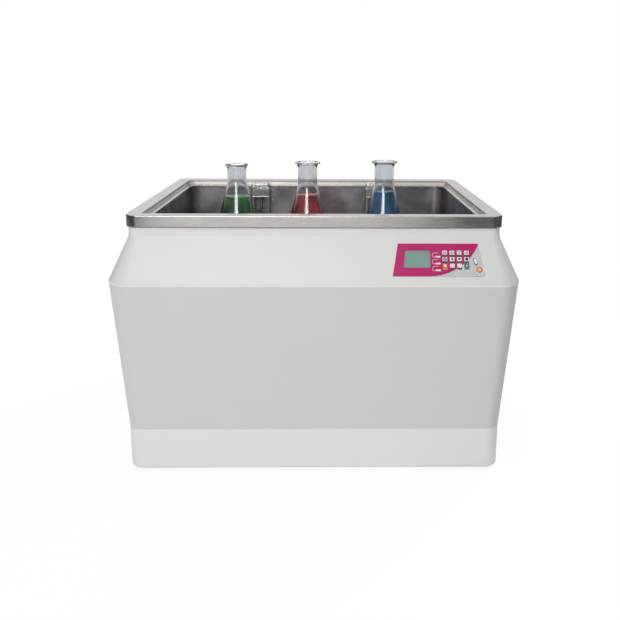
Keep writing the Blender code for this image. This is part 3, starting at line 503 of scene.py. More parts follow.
class Value:
    """A node's output. Sums on it make Math nodes."""

    def __init__(self, finish, socket):
        self.finish = finish
        self.socket = socket

    def run(self, operation, *values):
        return self.finish.node("Math", {"operation": operation}, values)

    def __add__(self, other):
        return self.run("ADD", self, other)

    def __sub__(self, other):
        return self.run("SUBTRACT", self, other)

    def __rsub__(self, other):
        return self.run("SUBTRACT", other, self)

    def __mul__(self, other):
        return self.run("MULTIPLY", self, other)

    __radd__ = __add__
    __rmul__ = __mul__

    def above(self, edge):
        return self.run("GREATER_THAN", self, edge)

    def size(self):
        return self.run("ABSOLUTE", self)

    def root(self):
        return self.run("SQRT", self)

    def fraction(self):
        return self.run("FRACT", self)

    def least(self, other):
        return self.run("MINIMUM", self, other)

    def most(self, other):
        return self.run("MAXIMUM", self, other)

    def between(self, low, high):
        """0 below low, 1 above high and a smooth rise between."""
        return self.finish.node("MapRange", {"interpolation_type": "SMOOTHSTEP"},
                                {"Value": self, "From Min": low, "From Max": high})


class Nodes:
    """A node tree to which nodes are added one call at a time."""

    def __init__(self, tree):
        self.tree = tree

    def feed(self, socket, value):
        if isinstance(value, Value):
            self.tree.links.new(value.socket, socket)
        elif hasattr(value, "__len__") and len(socket.default_value) > len(value):
            socket.default_value = (*value, 1.0)
        else:
            socket.default_value = value

    def node(self, kind, settings=None, values=(), output=0):
        made = self.tree.nodes.new("ShaderNode" + kind)
        for name, value in (settings or {}).items():
            setattr(made, name, value)
        pairs = values.items() if isinstance(values, dict) else enumerate(values)
        for name, value in pairs:
            self.feed(made.inputs[name], value)
        return Value(self, made.outputs[output])

    def outputs(self, kind, settings, values, *names):
        """Several outputs of one node."""
        made = self.node(kind, settings, values).socket.node
        return [Value(self, made.outputs[name]) for name in names]


class Finish(Nodes):
    """A material whose colour, roughness and relief come from nodes."""

    def __init__(self, name, colour, roughness, metallic=0.0, **even):
        self.material = bpy.data.materials.new(name)
        self.material.use_nodes = True
        super().__init__(self.material.node_tree)
        self.shader = self.tree.nodes["Principled BSDF"]
        self.set(Base_Color=colour, Roughness=roughness, Metallic=metallic, **even)

    def set(self, **values):
        for name, value in values.items():
            self.feed(self.shader.inputs[name.replace("_", " ")], value)

    def where(self, size=(1, 1, 1), middle=(0, 0, 0), turned=(0, 0, 0)):
        place = self.node("TexCoord", output="Object")
        return self.node("Mapping", {"vector_type": "TEXTURE"},
                         {"Vector": place, "Location": middle, "Rotation": turned, "Scale": size})

    def noise(self, size, detail=2.0):
        """A cloud pattern whose grains have this size, in metres."""
        place = self.where(size if hasattr(size, "__len__") else (size,) * 3)
        return self.node("TexNoise", None, {"Vector": place, "Scale": 1.0, "Detail": detail})

    def axes(self, **place):
        return self.outputs("SeparateXYZ", None, [self.where(**place)], "X", "Y", "Z")

    def tint(self, mask, first, second):
        return self.node("Mix", {"data_type": "RGBA"}, {0: mask, 6: first, 7: second}, 2)

    def vary(self, mask, colour, low, high):
        """A colour between two depths of itself."""
        return self.tint(mask, shade(colour, low), shade(colour, high))

    def relief(self, height, depth):
        return self.node("Bump", None, {"Height": height, "Distance": depth, "Strength": 1.0})

    def give_way(self, mask, other):
        """Shows another shader where the mask is 1."""
        surface = self.node("MixShader", None, [mask, Value(self, self.shader.outputs[0]), other])
        self.feed(self.tree.nodes["Material Output"].inputs["Surface"], surface)


def shade(colour, factor):
    return tuple(min(part * factor, 1.0) for part in colour)


def moulded(name, colour, roughness, grain=0.0008, depth=0.00003, cloud=0.02):
    """Plastic with a fine spark-eroded grain and faint clouds."""
    finish = Finish(name, colour, roughness)
    clouds = finish.noise(0.08, 4.0)
    finish.set(Base_Color=finish.vary(clouds, colour, 1 - cloud, 1 + cloud),
               Roughness=clouds * 0.16 + (roughness - 0.08),
               Normal=finish.relief(finish.noise(grain), depth))
    return finish.material


def casing_moulding():
    """The casing's off-white, with faint scuffs, painted light on the neck and a painted highlight along the
    crest.
    """
    colour = (0.79, 0.785, 0.762)
    finish = Finish("casing_moulding", colour, 0.4)
    clouds = finish.noise(0.11, 4.0)
    scuffs = finish.noise((0.030, 0.004, 0.0035), 3.0).between(0.66, 0.74)
    height = finish.axes()[2]
    # Painted light: the neck is paler than the rest of the casing
    neck = height.between(neck_foot - neck_light_fade[0], neck_foot + neck_light_fade[1])
    plain = finish.vary(clouds, colour, 0.985, 1.015)
    # Painted highlight: a paler line along the crest, where a lamp would glint
    crest_highlight_mask = (height - crest_height + crest_highlight_drop).size().between(*crest_highlight_widths)
    pale = finish.tint(neck, plain, shade(colour, 1.16))
    with_crest_highlight = finish.tint(crest_highlight_mask, pale, shade(colour, 1.22))
    finish.set(Base_Color=finish.tint(scuffs * 0.5, with_crest_highlight, shade(colour, 1.06)),
               Roughness=clouds * 0.14 + scuffs * 0.1 + 0.32,
               Normal=finish.relief(finish.noise(0.0009), 0.00003))
    return finish.material


def brushed(name, colour, roughness=0.26, mitred=False):
    """Stainless sheet with brush strokes along X, or along each side of a mitred frame, which also gets
    painted shade at the band's foot and a painted shadow line under its fold.
    """
    finish = Finish(name, colour, roughness, 1.0)
    length, width = 0.035, 0.0003
    strokes = finish.noise((length, width, width), 3.0)
    if mitred:
        x, y, z = finish.axes()
        side = (x.size() - y.size()).above(half_width - half_depth)
        along = finish.noise((width, length, width), 3.0)
        strokes = side * along + (1 - side) * strokes
    smears = finish.noise((0.06, 0.04, 0.03), 3.0)
    tone = strokes * 0.6 + smears * 0.4
    base = finish.vary(tone.between(0.3, 0.7), colour, 0.90, 1.06)
    if mitred:
        # Painted shade along the band's foot, and a painted shadow line under the fold at the flange's inner
        # edge
        foot = 1 - z.between(band_bottom + band_shade[0], band_bottom + band_shade[1])
        fold_shadow_line = (z - total_height + fold_shadow_drop).size().between(*fold_shadow_widths)
        inside = (half_width - x.size()).least(half_depth - y.size()).above(fold_shadow_inset)
        base = finish.tint((foot * 0.5).most(fold_shadow_line * inside * 0.8), base, (0.24, 0.18, 0.15))
    finish.set(Base_Color=base, Roughness=strokes * 0.14 + smears * 0.14 + (roughness - 0.14),
               Normal=finish.relief(strokes, 0.000008))
    return finish.material


def tank_steel():
    """Drawn sheet, cloudy from heat and water, with a tide line, and darker all over as painted shade inside
    the tank.
    """
    # Painted shade: this colour is darker than the rim's steel, for the shade inside the tank
    colour = (0.355, 0.325, 0.34)
    finish = Finish("tank_steel", colour, 0.36, 1.0)
    clouds = finish.noise((0.05, 0.05, 0.04), 5.0)
    grain = finish.noise(0.0022, 2.0)
    height = finish.axes()[2]
    wave = finish.noise((0.05, 0.05, 0.01), 2.0) * 0.006
    tide = (height + wave - (tank_floor + tide_height)).size()
    line = 1 - tide.between(*tide_line)
    base = finish.vary(clouds.between(0.3, 0.7), colour, 0.72, 1.2)
    finish.set(Base_Color=finish.tint(line * 0.35, base, (0.55, 0.53, 0.50)),
               Roughness=clouds * 0.2 + grain * 0.1 + 0.24,
               Normal=finish.relief(clouds + grain * 0.3, 0.00025))
    return finish.material


def dented_steel_painted_glints():
    """The guards' thin sheet: greenish and darker low down, with dents at the head that also carry painted
    glints.
    """
    colour = (0.50, 0.50, 0.45)
    finish = Finish("guard_steel", colour, 0.34, 0.6)
    dents_and_glints = finish.noise((0.006, 0.006, 0.005), 3.0)
    head = finish.axes()[2].between(guard_top - head_glint_fade[0], guard_top - head_glint_fade[1])
    # Painted glints: near-white mottles over the dents at the head, standing in for reflections
    base = finish.tint(dents_and_glints.between(0.35, 0.65) * head, shade(colour, 0.62), (0.86, 0.85, 0.82))
    finish.set(Base_Color=base, Roughness=dents_and_glints * 0.25 + 0.2, Normal=finish.relief(dents_and_glints, 0.0012))
    return finish.material


def cast_metal(name, colour, roughness):
    """Turned or plated metal with fine grain and handling marks."""
    finish = Finish(name, colour, roughness, 1.0)
    marks = finish.noise(0.012, 4.0)
    finish.set(Base_Color=finish.vary(marks, colour, 0.88, 1.08),
               Roughness=marks * 0.2 + (roughness - 0.1),
               Normal=finish.relief(finish.noise(0.0012), 0.00003))
    return finish.material


def let_lamps_through(finish, tint):
    """Lets light from lamps pass, so that what the glass holds is lit."""
    shadow = finish.node("LightPath", output="Is Shadow Ray")
    finish.give_way(shadow, finish.node("BsdfTransparent", None, [tint]))


def clear_glass():
    # Painted shade: the grey-blue tint darkens the glass and what is seen through it
    colour = (0.73, 0.745, 0.77)
    finish = Finish("flask_glass", colour, 0.01, Transmission_Weight=1.0, IOR=1.47)
    film = finish.noise(0.014, 4.0)
    finish.set(Base_Color=finish.vary(film.between(0.45, 0.7), colour, 1.0, 0.95),
               Roughness=film.between(0.5, 0.8) * 0.05)
    let_lamps_through(finish, (0.93, 0.95, 0.96))
    return finish.material


def liquid(name, dark, bright):
    """Coloured liquid with painted light: brighter in drifting clouds where light gathers."""
    finish = Finish(name, dark, 0.06, Transmission_Weight=0.12, IOR=1.33, Specular_IOR_Level=0.3)
    # Painted light: brighter clouds in the liquid's colour
    painted_glow = finish.noise((0.022, 0.022, 0.045), 2.0).between(0.4, 0.7)
    finish.set(Base_Color=finish.tint(painted_glow, dark, bright), Roughness=painted_glow * 0.08 + 0.04)
    let_lamps_through(finish, shade(bright, 1.2))
    return finish.material


def printed_film():
    """The panel's satin film: a magenta field with a pale grey sweep at its lower right."""
    magenta = (0.53, 0.011, 0.155)
    pale_grey = (0.64, 0.63, 0.64)
    finish = Finish("printed_film", magenta, 0.36, Specular_IOR_Level=0.25)
    x, y = finish.axes(middle=panel_origin, turned=(slope_tilt, 0, 0))[:2]
    across = x - grey_centre[0]
    down = y - grey_centre[1]
    reach = (across * across + down * down).root()
    sweep = (reach - grey_radius).between(0, grey_edge) * across.above(0.0)
    weave = finish.noise(0.0005)
    clouds = finish.noise(0.02, 3.0)
    field = finish.vary(clouds, magenta, 0.95, 1.05)
    pale = finish.vary(clouds, pale_grey, 0.98, 1.02)
    finish.set(Base_Color=finish.tint(sweep, field, pale), Roughness=weave * 0.1 + clouds * 0.1 + 0.27,
               Normal=finish.relief(weave, 0.00001))
    return finish.material


def display_glass():
    """A grey-green display with its fine dot grid under a clear window."""
    colour = (0.205, 0.330, 0.290)
    dot_pitch = 0.0006
    finish = Finish("display_glass", colour, 0.30, Coat_Weight=0.2, Coat_Roughness=0.1)
    x, y = finish.axes(middle=panel_origin, turned=(slope_tilt, 0, 0), size=(dot_pitch,) * 3)[:2]
    grid = (x.fraction() - 0.5).size().most((y.fraction() - 0.5).size())
    lines = grid.between(0.42, 0.48)
    clouds = finish.noise(0.03)
    finish.set(Base_Color=finish.vary((lines + clouds) * 0.10, colour, 1.0, 1.25),
               Roughness=clouds * 0.1 + 0.26)
    return finish.material


def key_plastic(name, colour, roughness=0.35):
    return moulded(name, colour, roughness, 0.0004, 0.00001)


def printing_ink(name, colour):
    return moulded(name, colour, 0.5, 0.0003, 0.000005)


casing_finish = casing_moulding()
plinth_finish = moulded("plinth_moulding", (0.94, 0.94, 0.935), 0.4)
rim_finish = brushed("rim_steel", (0.515, 0.49, 0.478), mitred=True)
sheet_finish = brushed("sheet_steel", (0.60, 0.59, 0.575), 0.3)
guard_finish = dented_steel_painted_glints()
tank_finish = tank_steel()
rod_finish = cast_metal("rod_steel", (0.72, 0.71, 0.69), 0.28)
aluminium = cast_metal("machined_aluminium", (0.70, 0.70, 0.71), 0.38)
brass = cast_metal("turned_brass", (0.62, 0.45, 0.20), 0.32)
magnet_finish = cast_metal("coated_magnet", (0.25, 0.25, 0.27), 0.45)
glass = clear_glass()
liquids = (liquid("green_liquid", (0.006, 0.062, 0.018), (0.018, 0.200, 0.028)),
           liquid("red_liquid", (0.170, 0.012, 0.010), (0.360, 0.033, 0.024)),
           liquid("blue_liquid", (0.001, 0.045, 0.095), (0.002, 0.115, 0.250)))
film = printed_film()
display = display_glass()
white_key = key_plastic("white_key", (0.93, 0.93, 0.93), 0.38)
orange_key = key_plastic("orange_key", (0.80, 0.25, 0.035))
teal_key = key_plastic("teal_key", (0.025, 0.235, 0.215))
coloured_keys = {8: orange_key, 11: teal_key}
dark_ink = printing_ink("dark_ink", (0.055, 0.055, 0.058))
# Painted shade: the darker green band around the display window's inner edge
window_edge_shade = printing_ink("window_edge_shade", (0.15, 0.26, 0.22))
grey_ink = printing_ink("grey_ink", (0.20, 0.20, 0.20))
white_ink = printing_ink("white_ink", (0.92, 0.91, 0.92))
pink_ink = printing_ink("pink_ink", (0.74, 0.38, 0.52))
black_plastic = moulded("black_plastic", (0.018, 0.018, 0.019), 0.45, 0.0006, 0.00003, 0.15)
rubber = moulded("foot_rubber", (0.028, 0.028, 0.028), 0.75, 0.0005, 0.00006, 0.2)
red_plastic = moulded("red_plastic", (0.50, 0.035, 0.030), 0.38)
white_plastic = moulded("white_plastic", (0.82, 0.82, 0.80), 0.4)
board_green = moulded("board_green", (0.02, 0.17, 0.06), 0.4)


# Casing, plinth and base

def casing_rings():
    """The casing's rings from the top edge down."""
    reach = neck_fillet * math.tan(lean / 2)
    steps = 8
    bends = [(neck_fillet * (1 - math.cos(lean * i / steps)) - neck_inset,
              neck_foot + reach - neck_fillet * math.sin(lean * i / steps)) for i in range(steps + 1)]
    shoulder = arc((shoulder_centre, crest_height), shoulder_radius, math.degrees(lean),
                   -math.degrees(face_draft), corner_steps)
    rows = [(-neck_inset - neck_lip, casing_top, neck_corner - neck_lip),
            (-neck_inset, casing_top, neck_corner)]
    for offset, height in bends + shoulder:
        share = (offset + neck_inset) / (crest_overhang + neck_inset)
        rows.append((offset, height, neck_corner + (crest_corner - neck_corner) * share))
    rows.append((plinth_offset, casing_bottom, plinth_corner))
    return even_rings(half_width, half_depth, rows)


def cover_place():
    offset = face_top[0] - (face_top[1] - cover_height) * math.tan(face_draft)
    return at(0, half_depth + offset, cover_height) @ Matrix.Rotation(-math.pi / 2 - face_draft, 4, "X")


def make_casing():
    deep = casing_wall * 3
    keys = (key_first_column + key_column_pitch * 1.5, -key_first_run - key_row_pitch)
    keypad = (key_column_pitch * 3 + key_width + keypad_margin * 2,
              key_row_pitch * 2 + key_length + keypad_margin * 2, deep)
    window = moved(block(keypad, opening_round), panel_place, at(*keys, 0))
    vent = moved(block((cover_width - cover_lap * 2, cover_length - cover_lap * 2, deep), opening_round),
                 cover_place())
    finished("casing_shell", loft(casing_rings()), casing_finish, "casing", wall=casing_wall, edge=cast_edge,
             holes=(window, vent))


def make_plinth():
    spigot = plinth_offset - casing_wall - gap * 2
    spigot_corner = plinth_corner - casing_wall
    rows = [(spigot, plinth_top + plinth_spigot, spigot_corner), (spigot, plinth_top, spigot_corner),
            (plinth_offset, plinth_top, plinth_corner)]
    for inwards, rise in arc((0, 0), plinth_round, 0, -90):
        rows.append((plinth_offset - plinth_round + inwards, plinth_bottom + plinth_round + rise,
                     plinth_corner - plinth_round + inwards))
    rows.append((plinth_offset - plinth_flange, plinth_bottom, plinth_corner - plinth_flange))
    deep = drill_length * 2
    inlet = moved(block((inlet_width + gap * 2, deep, inlet_tall + gap * 2), gap),
                  at(inlet_place, back_face, inlet_height))
    spout = moved(bar(drain_radius + gap, deep), at(drain_place, back_face + drill_length, drain_height),
                  turn(90, "X"))
    finished("plinth_shell", loft(even_rings(half_width, half_depth, rows)), plinth_finish, "plinth",
             wall=casing_wall, edge=plinth_edge, holes=(inlet, spout))


def make_base():
    dressed("base_plate", sheet_finish)
    for number in range(1, 5):
        low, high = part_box(f"foot_{number}")
        radius = (high.x - low.x) / 2
        tall = high.z - low.z
        profile = [(0, 0), (radius * 0.5, 0), (radius * 0.55, foot_groove), (radius * 0.7, foot_groove)]
        profile += [(radius * 0.75, 0)] + arc((radius * 0.93, tall * 0.2), radius * 0.07, -70, 0, 4)
        profile += [(radius, tall * 0.5), (radius * 0.8, tall), (0, tall)]
        middle = (low + high) / 2
        finished(f"foot_{number}_rubber", moved(turned(profile), at(middle.x, middle.y, low.z)), rubber,
                 f"foot_{number}")


# Steel rim and tank

def make_rim():
    def level(inwards, height, corner):
        side, front, back = inwards
        return (half_width - side, half_depth - front, half_depth - back, corner, height)

    ledge = [size + ledge_width for size in flange]
    rows = [level(ledge, step_height - lip_drop, ledge_corner)]
    rows += [level([size + x for size in ledge], step_height + z, ledge_corner + x)
             for x, z in arc((-fold, -fold), fold, 0, 90, 3)]
    share = fold / step_drop
    foot = bent((step_slant + fold, 0), (step_slant, 0), (step_slant * (1 - share), fold), 3)
    top = bent((step_slant * share, step_drop - fold), (0, step_drop), (-fold, step_drop), 3)
    rows += [level([size + x for size in flange], step_height + z, flange_corner + x) for x, z in foot + top]
    rows += [level((rim_edge_round - inwards,) * 3, total_height - rim_edge_round + rise,
                   rim_corner - rim_edge_round + inwards)
             for inwards, rise in arc((0, 0), rim_edge_round, 90, 0, 6)]
    rows += [level((0, 0, 0), band_bottom + band_return, rim_corner),
             level((band_return,) * 3, band_bottom, rim_corner - band_return)]
    finished("rim_steelwork", loft(rows), rim_finish, "rim_frame", wall=rim_sheet, edge=sheet_edge)


def make_tank():
    top = step_height - rim_sheet - gap
    rows = [(-tank_lip, top, wall_corner + tank_lip), (0, top, wall_corner)]
    for x, z in arc((0, 0), tank_floor_round, 0, -90):
        inwards = tank_floor_round - x
        rows.append((inwards, tank_floor + tank_floor_round + z, wall_corner - inwards))
    rings = [(wall_side - inwards, wall_front - inwards, wall_back - inwards, corner, height)
             for inwards, height, corner in rows]
    heater_row = wall_back - heater_wall_gap
    drilled = ((heater_start, heater_row, heater_radius), (heater_return, heater_row, heater_radius),
               (drain_place, drain_depth_place, drain_radius))
    holes = [moved(bar(radius + gap, drill_length), at(x, y, tank_floor - drill_length / 2))
             for x, y, radius in drilled]
    finished("tank_pressing", loft(rings, -1, floor=True), tank_finish, "tank", wall=tank_sheet,
             edge=sheet_edge, holes=holes)
    dressed("heater", rod_finish)


# Guards, probe and float on the back wall

def make_guard(node, side):
    x = side * guard_place
    deep = guard_depth / 2
    crown = arc((-guard_crown, -guard_crown), guard_crown, 0, 90, 5)
    rows = [(0, guard_low)] + [(inwards, guard_top + rise) for inwards, rise in crown]
    shell = loft([(guard_width / 2 + inwards, deep + inwards / 2, deep + inwards / 2, guard_corner, height)
                  for inwards, height in rows], steps=6, floor=True)
    mouth = guard_top - guard_head
    window = moved(block((guard_window, guard_depth, (mouth - guard_low) * 2), opening_round),
                   at(0, -deep, guard_low))
    lip = moved(block(guard_lip, guard_lip_round), at(0, -deep - guard_lip_proud, mouth))
    sides = rectangle(guard_width - guard_shelf_play, guard_depth - guard_shelf_play, guard_shelf_play)
    shelf = moved(plate([sides, disc(rod_radius + gap)], guard_sheet),
                  at(0, 0, guard_top - guard_shelf_drop - guard_sheet / 2))
    shell, lip, shelf, window = [moved(part, at(x, guard_middle, 0)) for part in (shell, lip, shelf, window)]
    finished(node + "_cover", shell, guard_finish, node, wall=guard_sheet, edge=folded_edge, holes=(window,))
    piece(node + "_lip", [(lip, rod_finish), (shelf, guard_finish)], (), "base", "brushed_steel")
    for drop in rivet_drops:
        height = guard_top - drop
        head = turned([(0, 0), (rivet_radius, 0)] + arc((0, -rivet_sink), rivet_radius, 10, 90, 5))
        spot = at(x - side * (guard_width / 2 + rivet_inset), guard_back - rivet_air, height)
        fitting(f"{node}_rivet_{round(height * 1000)}", moved(head, spot, turn(90, "X")), rod_finish,
                "brushed_steel")


def make_sensors():
    make_guard("probe_guard", -1)
    make_guard("float_guard", 1)
    foot = guard_top - guard_shelf_drop + guard_sheet / 2 + gap
    low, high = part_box("level_float")
    tall = high.z - low.z
    radius = (high.x - low.x) / 2
    collar = [(0, collar_height)] + arc((collar_radius - collar_round, collar_height - collar_round),
                                        collar_round, 90, 0, 3)
    head = collar + [(collar_radius, 0), (rod_radius, 0)]
    tip = stop_height - rod_length
    probe = head + [(rod_radius, tip)] + arc((0, tip), rod_radius, 0, -90, 5)
    rod = head + [(rod_radius, tip), (stop_radius, tip), (stop_radius, -rod_length), (0, -rod_length)]
    bore = rod_radius + float_fit
    bead = [(bore, tall)] + arc((radius - float_round, tall - float_round), float_round, 90, 0, 4)
    bead += arc((radius - float_round, float_round), float_round, 0, -90, 4) + [(bore, 0)]
    for name, profile, closed, side, height, finish, node in (
            ("probe_rod", probe, False, -1, foot, rod_finish, "temperature_probe"),
            ("float_guide", rod, False, 1, foot, rod_finish, "float_rod"),
            ("float_bead", bead, True, 1, low.z, white_plastic, "level_float")):
        shape = turned(profile, small_steps, closed)
        finished(name, moved(shape, at(side * guard_place, guard_middle, height)), finish, node)


# Panel

def trapezoid(right_top, right_bottom, left_top, left_bottom, top, bottom, radius):
    return [(left_bottom, bottom), (right_bottom, bottom), (right_top, top), (left_top, top)], radius


def panel_outline():
    top, bottom = panel_top_width / 2, panel_bottom_width / 2
    return trapezoid(panel_middle + top, panel_middle + bottom, panel_middle - top, panel_middle - bottom,
                     -panel_top_run, -panel_top_run - panel_length, panel_corner)


def display_outline(grow):
    return trapezoid(display_right + grow, display_right + grow, display_right - display_top_width - grow,
                     display_right - display_bottom_width - grow, -display_top_run + grow,
                     -display_top_run - display_length - grow, display_corner + grow)


def key_spot(number):
    row, column = divmod(number, 4)
    return key_first_column + column * key_column_pitch, -key_first_run - row * key_row_pitch


def indicator_spot(row):
    return indicator_middle, -indicator_first_run - row * indicator_pitch


def make_panel():
    outlines = [panel_outline(), display_outline(panel_fit)]
    key_hole = (key_width + panel_fit * 2, key_length + panel_fit * 2, key_corner)
    outlines += [rectangle(*key_hole, key_spot(number)) for number in range(12)]
    outlines += [disc(indicator_radius + panel_fit, indicator_spot(row)) for row in range(3)]
    outlines.append(disc(lamp_radius + panel_fit, (lamp_middle, -lamp_run)))
    finished("panel_film", moved(plate(outlines, panel_sheet, gap), panel_place), film, "panel_overlay",
             edge=film_edge)
    # The darker band on the window's edge is painted shade of its recess
    edge_shade_band = plate([display_outline(edge_shade_outside), display_outline(-edge_shade_inside)], edge_shade_sheet,
                  gap + pane_sheet)
    window = plate([display_outline(0)], pane_sheet, gap)
    piece("display_pane", [(moved(window, panel_place), display), (moved(edge_shade_band, panel_place), window_edge_shade)],
          ("display_window",))
    crown = panel_sheet + lamp_proud
    dome = bent((lamp_radius * 0.3, crown), (lamp_radius * 0.9, crown), (lamp_radius, panel_sheet))
    dome = [(0, crown)] + dome + [(lamp_radius, 0), (0, 0)]
    top = gap + panel_sheet
    collar = plate([disc(lamp_radius + lamp_collar), disc(lamp_radius + panel_fit)], ink, top)
    mark = plate([disc(lamp_radius * 0.42), disc(lamp_radius * 0.24)], ink, top + lamp_proud - ink)
    spot = panel_place @ at(lamp_middle, -lamp_run, 0)
    lens = moved(turned(dome, 40), at(0, 0, gap))
    piece("lamp_lens", [(moved(shape, spot), finish) for shape, finish in
                        ((lens, orange_key), (collar, white_ink), (mark, white_ink))], ("power_lamp",))
    for row in range(3):
        lens = bar(indicator_radius, panel_sheet + indicator_proud, indicator_round)
        lens = moved(lens, panel_place, at(*indicator_spot(row), gap))
        finished(f"indicator_{row + 1}_lens", lens, white_key, f"indicator_{row + 1}")


def make_printing():
    """Label strips, indicator brackets and the slanted mark, printed on the film."""
    top = gap + panel_sheet
    parts = []
    for number in sorted(range(12), key=coloured_keys.__contains__):
        x, y = key_spot(number)
        label = rectangle(*key_strip, (x, y - key_length / 2 - key_strip_drop))
        parts.append((plate([label], ink, top), coloured_keys.get(number, dark_ink)))
    spots = [indicator_spot(row) for row in range(3)]
    parts += [(plate([rectangle(*pill, (x + pill_shift, y)), disc(pill_hole, (x, y))], ink, top), white_ink)
              for x, y in spots]
    slanted = [(dark_ink, ink / 2, (0.2995, -0.0455), (0.0066, 0.0135, 0.0030)),
               (white_ink, ink, (0.2998, -0.0449), (0.0046, 0.0104, 0.0020))]
    slanted += [(grey_ink, ink, (0.3020 + step * 0.0008, -0.0534 - step * 0.0022), (0.0042, 0.0012, 0.0003))
                for step in range(3)]
    slanted += [(dark_ink, ink / 2, (0.3052, -0.0716), (0.0070, 0.0040, 0.0015)),
                (white_ink, ink, (0.3052, -0.0716), (0.0056, 0.0030, 0.0012))]
    for finish, sheet, spot, size in slanted:
        shape = plate([rectangle(*size)], sheet, top)
        parts.append((moved(shape, at(*spot, 0), turn(mark_lean, "Z")), finish))
    for x, y in spots:
        line = [(x + bracket_right, y + bracket_rise), (x - bracket_left, y + bracket_rise),
                (x - bracket_left, y), (x - bracket_end, y)]
        parts.append((stroke(line, bracket_round, bracket_width, ink, top), pink_ink))
    piece("panel_printing", [(moved(shape, panel_place), finish) for shape, finish in parts], (), "base",
          "panel_magenta")


def triangle(size, degrees):
    points = []
    for corner in range(3):
        angle = math.radians(degrees + 90 + corner * 120)
        points.append((size * math.cos(angle), size * math.sin(angle)))
    return points, size * 0.06


def key_sign(number):
    """Plain signs on the twelve keys, each a list of plate outlines."""
    def slab(width, length, x=0.0, y=0.0, corner=0.02):
        return [rectangle(key_width * width, key_length * length, key_width * corner,
                          (key_width * x, key_length * y))]

    def dot(radius, x=0.0, y=0.0):
        return disc(key_length * radius, (key_width * x, key_length * y))

    leaning = [(key_width * x, key_length * y)
               for x, y in ((-0.26, -0.26), (-0.14, -0.26), (0.26, 0.26), (0.14, 0.26))]
    signs = (
        [slab(0.12, 0.62, x) for x in (-0.27, 0.0, 0.27)],
        [[dot(0.34), dot(0.20)]],
        [slab(0.70, 0.16, y=0.20), slab(0.42, 0.16, y=-0.14)],
        [slab(0.66, 0.11, y=y) for y in (-0.25, 0.0, 0.25)],
        [[dot(0.42), triangle(key_length * 0.24, 90)]],
        [[triangle(key_length * 0.46, 0)]],
        [[triangle(key_length * 0.46, 180)]],
        [[dot(0.40)]],
        [slab(0.52, 0.52, corner=0.05)],
        [[dot(0.08, x, y)] for x in (-0.18, 0.18) for y in (-0.18, 0.18)],
        [[(leaning, key_width * 0.01)]],
        [[triangle(key_length * 0.28, -90)]],
    )
    return signs[number]


def make_keys():
    top = gap + panel_sheet + key_proud
    rows = [(-inset, top - drop, corner) for inset, drop, corner in key_crown]
    rows += [(0, 0, key_corner), (key_flange, 0, key_corner + key_flange),
             (key_flange, -key_flange_sheet, key_corner + key_flange)]
    for number in range(12):
        cap = loft(even_rings(key_width / 2, key_length / 2, rows), steps=4, floor=True)
        rim = [edge for edge in cap.edges if edge.is_boundary]
        bmesh.ops.contextual_create(cap, geom=rim)
        bmesh.ops.recalc_face_normals(cap, faces=cap.faces)
        place = panel_place @ at(*key_spot(number), 0)
        parts = [(moved(cap, place), coloured_keys.get(number, white_key))]
        sign = white_ink if number in coloured_keys else dark_ink
        parts += [(moved(plate(outlines, ink, top - ink_sink), place), sign) for outlines in key_sign(number)]
        piece(f"key_{number + 1:02d}_cap", parts, (f"key_{number + 1:02d}",))
    dressed("keypad_board", board_green, fine_edge)


# Tray, flasks and clamps

def make_tray():
    half_x, half_y = (tray_high.x - tray_low.x) / 2, (tray_high.y - tray_low.y) / 2
    middle = (tray_low.y + tray_high.y) / 2
    rows = [(0, tray_high.z, tray_corner)]
    rows += [(x - tray_bend, tray_floor + tray_bend + z, tray_corner - tray_bend + x)
             for x, z in arc((0, 0), tray_bend, 0, -90, 6)]
    shape = loft(even_rings(half_x, half_y, rows), -1, 8, floor=True)
    punch = bmesh.new()
    pitch_x = (half_x - tray_hole_margin) * 2 / (tray_hole_columns - 1)
    pitch_y = (half_y - tray_hole_margin) * 2 / (tray_hole_rows - 1)
    for column in range(tray_hole_columns):
        for row in range(tray_hole_rows):
            spot = at(tray_hole_margin - half_x + column * pitch_x,
                      tray_hole_margin - half_y + row * pitch_y + middle, tray_floor)
            bmesh.ops.create_cone(punch, cap_ends=True, segments=small_steps, radius1=tray_hole_radius,
                                  radius2=tray_hole_radius, depth=drill_length, matrix=spot)
    finished("tray_sheet", moved(shape, at(0, middle, 0)), sheet_finish, "shaking_tray", wall=tray_sheet,
             edge=sheet_edge, holes=(punch,))
    dressed("front_skid", white_plastic)
    dressed("rear_skid", white_plastic)
    dressed("tray_magnet", magnet_finish, magnet_edge)
    dressed("tray_track", sheet_finish, folded_edge)


def flask_cone(kind):
    """The height where a flask's cone ends, and the radius that it gains for each metre below that."""
    shoulder = flask_heights[kind] - neck_lengths[kind]
    return shoulder, (flask_base_radius - neck_radii[kind]) / (shoulder - flask_base_round)


def flask_outer(kind):
    """A flask's outer side from its lip to its base."""
    neck, mouth, top = neck_radii[kind], mouth_radii[kind], flask_heights[kind]
    shoulder, slope = flask_cone(kind)
    lip = arc((mouth - flask_wall / 2, top - flask_wall / 2), flask_wall / 2, 90, 0, 4)
    flare = bent((mouth, top - flask_lip), (neck + (mouth - neck) * 0.2, top - flask_lip * 1.5),
                 (neck, top - flask_flare))
    side = bent((neck, shoulder + flask_bend), (neck, shoulder),
                (neck + slope * flask_bend, shoulder - flask_bend))
    return lip, flare, side + flask_foot(0)


def flask_foot(inset):
    """The round at a flask's base, this far inside its outer side."""
    middle = (flask_base_radius - flask_base_round, flask_base_round + inset)
    return arc(middle, flask_base_round - inset, 0, -90)


